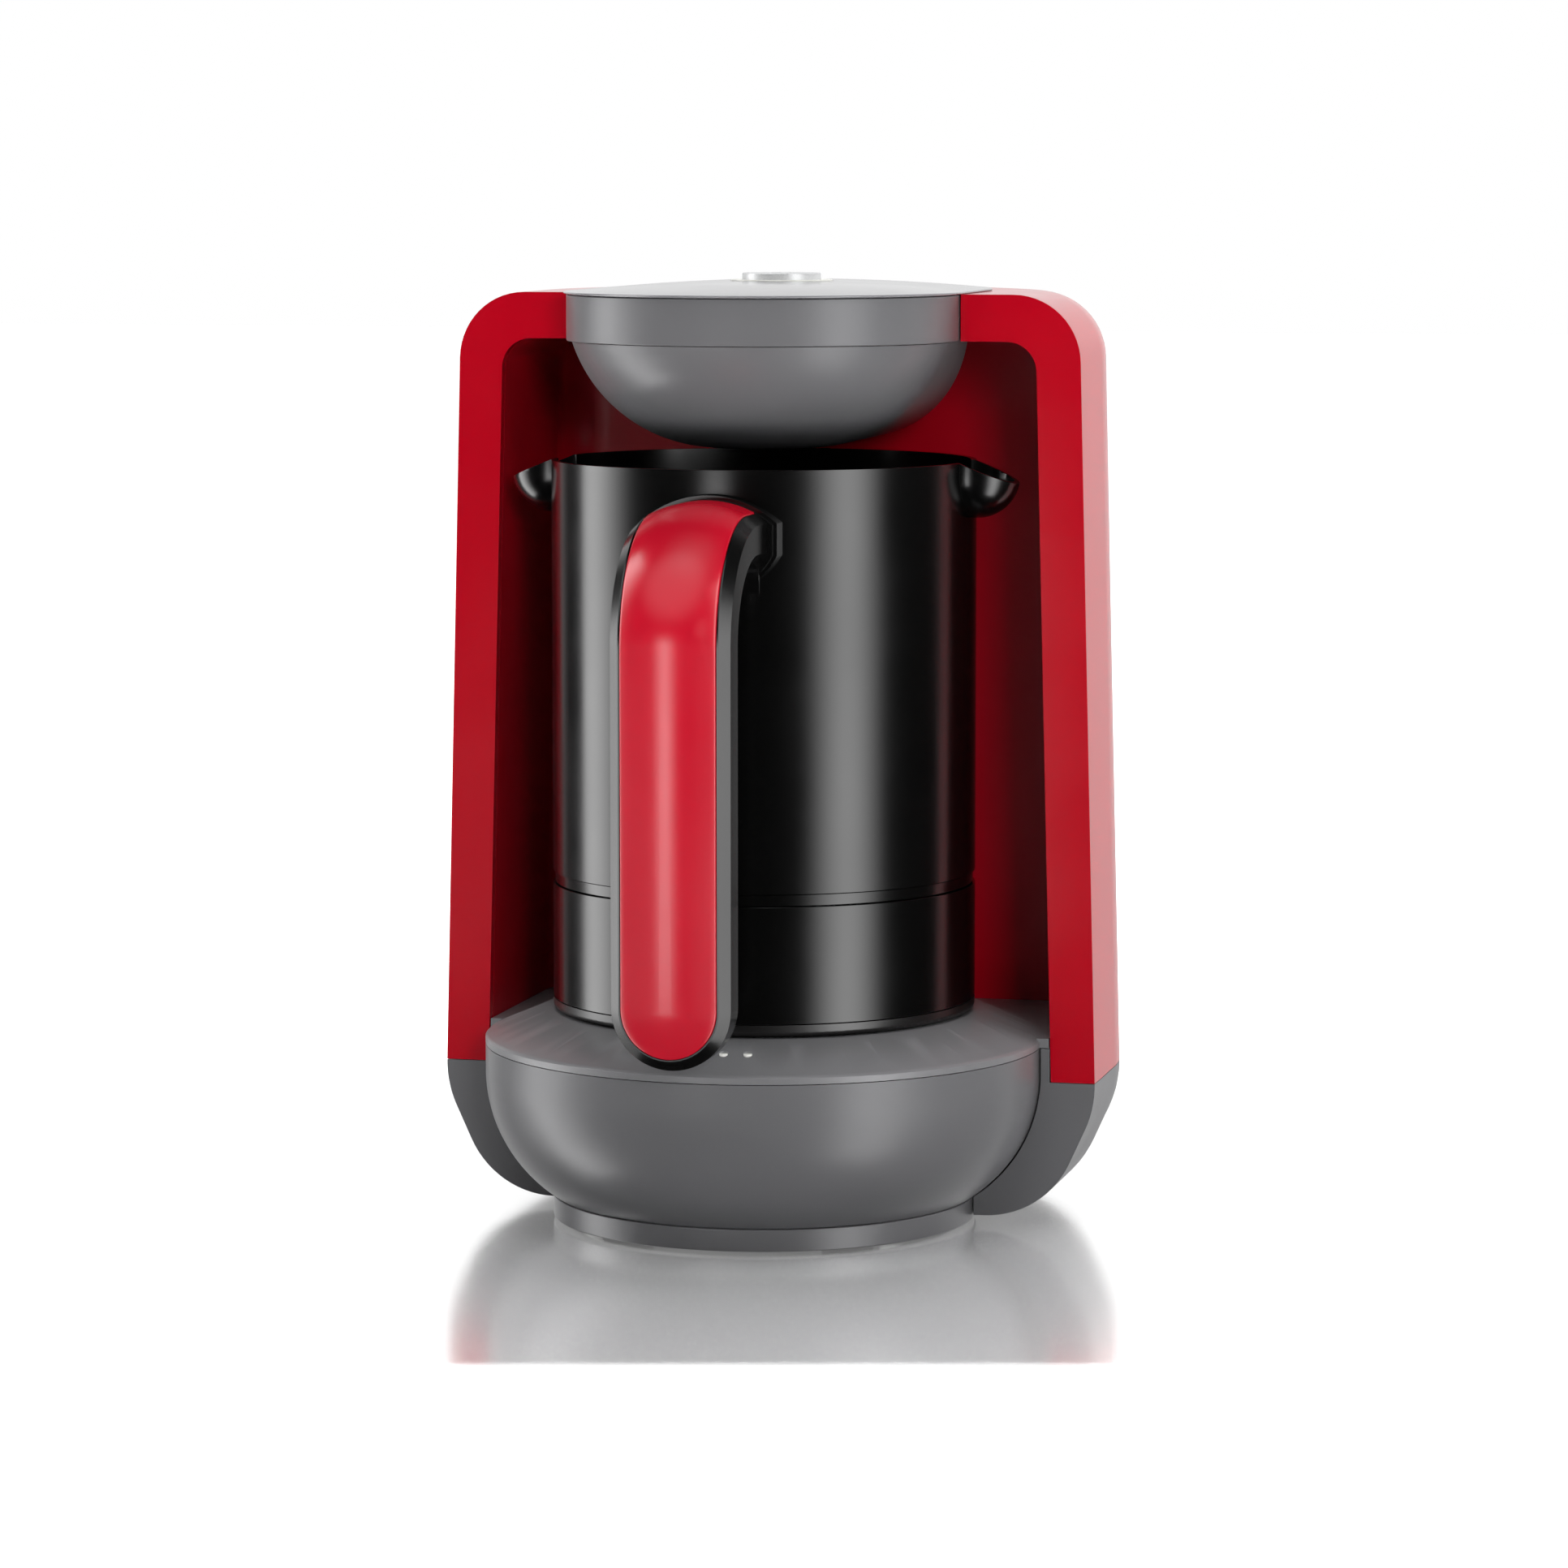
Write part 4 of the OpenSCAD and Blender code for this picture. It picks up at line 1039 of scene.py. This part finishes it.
# moulded rubber: matt black with a bloom of paler dust
moulded_rubber = moulded(
    "moulded_rubber", "#1b1b1b", 0.82, wave=0.4, relief=0.02, mottle=0.2, index=1.52
)
dress("rubber_feet", moulded_rubber, 0.4)

# Pot: a vessel drawn from steel with two spouts pressed out of its rim, over a
# skirt that holds the heater. Both are sprayed and baked black.
# baked black lacquer: deep black, glossy, with the faint skin of the spray
baked_black_lacquer = moulded(
    "baked_black_lacquer", "#040404", 0.21, wave=1.4, relief=0.0025, mottle=0.1, index=1.5
)
dress("pot_vessel", baked_black_lacquer, 0.25)
dress("heater_housing", baked_black_lacquer, 0.3)
dress("seam_bead", baked_black_lacquer, 0.15)
# phenolic base: black, pressed, a little duller than the lacquer
pressed_phenolic = moulded(
    "pressed_phenolic", "#0b0a0a", 0.34, wave=0.9, relief=0.006, mottle=0.12, index=1.6
)
dress("pot_base_cover", pressed_phenolic, 0.3)

# Handle: a black nylon body screwed to the bevelled pad that sits on the vessel,
# with a red crowned inlay snapped into its groove.
# glossy nylon: black, its bevels drawn as thin bright lines
glossy_black_nylon = moulded("glossy_black_nylon", "#080808", 0.2, relief=0.003, mottle=0.1)
dress("handle_pad", glossy_black_nylon, 0.4, 3)
dress("handle_body", glossy_black_nylon, 0.4, 3)
# polished inlay: brighter red than the shell, with one soft highlight along it
polished_red_inlay = moulded("polished_red_inlay", "#ae0620", 0.24, relief=0.003)
dress("handle_inlay", polished_red_inlay, 0.3)

# Heater, inside the skirt: a cast aluminium plate, the tubular element pressed
# into its underside, and the thermostat in the middle.
plate_low, plate_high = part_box("heater_plate")
plate_axis = (plate_low + plate_high) / 2


def turned(name, colour, roughness, axis, ring=0.25, depth=0.002):
    """Metal turned round an upright axis: rings of this width and depth in millimetres."""
    material, tree, out = new_material(name)
    place = add(tree, "ShaderNodeTexCoord").outputs["Object"]
    level = add(
        tree, "ShaderNodeVectorMath", {"operation": "MULTIPLY", 1: (1, 1, 0)}, {0: place}
    )
    radius = add(
        tree,
        "ShaderNodeVectorMath",
        {"operation": "DISTANCE", 1: (axis.x, axis.y, 0)},
        {0: level},
    )
    rings = add(
        tree,
        "ShaderNodeTexNoise",
        {"noise_dimensions": "1D", "Scale": 1000 / ring, "Detail": 3.0},
        {"W": radius.outputs["Value"]},
    )
    film_width = 9.0
    film = add(
        tree, "ShaderNodeTexNoise", {"Scale": 1000 / film_width, "Detail": 2.0}, {"Vector": place}
    )
    gloss = add(
        tree,
        "ShaderNodeMapRange",
        {
            "From Min": noise_low,
            "From Max": noise_high,
            "To Min": roughness * 0.85,
            "To Max": roughness * 1.2,
        },
        {0: film},
    )
    bump = add(
        tree, "ShaderNodeBump", {"Strength": 1.0, "Distance": depth / 1000}, {"Height": rings}
    )
    tone = linear(colour)
    shade = add(
        tree,
        "ShaderNodeMix",
        {"data_type": "RGBA", 6: [v * 0.9 for v in tone[:3]] + [1.0], 7: tone},
        {0: rings},
    )
    skin = add(
        tree,
        "ShaderNodeBsdfPrincipled",
        {"Metallic": 1.0},
        {"Base Color": shade.outputs[2], "Roughness": gloss, "Normal": bump},
    )
    tree.links.new(skin.outputs[0], out.inputs["Surface"])
    return material


# faced aluminium casting: dull silver with coarse turning rings
faced_aluminium = turned("faced_aluminium_casting", "#b9babc", 0.38, plate_axis, 0.6, 0.01)
dress("heater_plate", faced_aluminium, 0.3)
# annealed stainless tube: grey, with straw and brown bands where it has been hot
annealed_stainless = bare_metal(
    "annealed_stainless_tube", "#8d8880", "#7c6a52", 0.34, grain=0.4, depth=0.002, patch=12.0
)
dress("heating_element", annealed_stainless, 0)
# steatite: ivory ceramic, dry, with tiny pits
pressed_steatite = moulded(
    "pressed_steatite", "#cfc6ae", 0.6, wave=0.5, relief=0.02, mottle=0.05, index=1.6
)
dress("thermostat", pressed_steatite, 0.25)

# Plug at the back of the pot: a block pressed of the same phenolic as the pot's
# base, with three turned pins of tin-plated brass.
dress("pot_plug", pressed_phenolic, 0.3)
# tin-plated brass: warm pale metal, a little dull, with fine lines round from drawing
tin_plated_brass = bare_metal(
    "tin_plated_brass", "#cbc5b8", "#bdb6a6", 0.18, 0.2, (1, 0.15, 1)
)
dress("plug_pins", tin_plated_brass, 0)
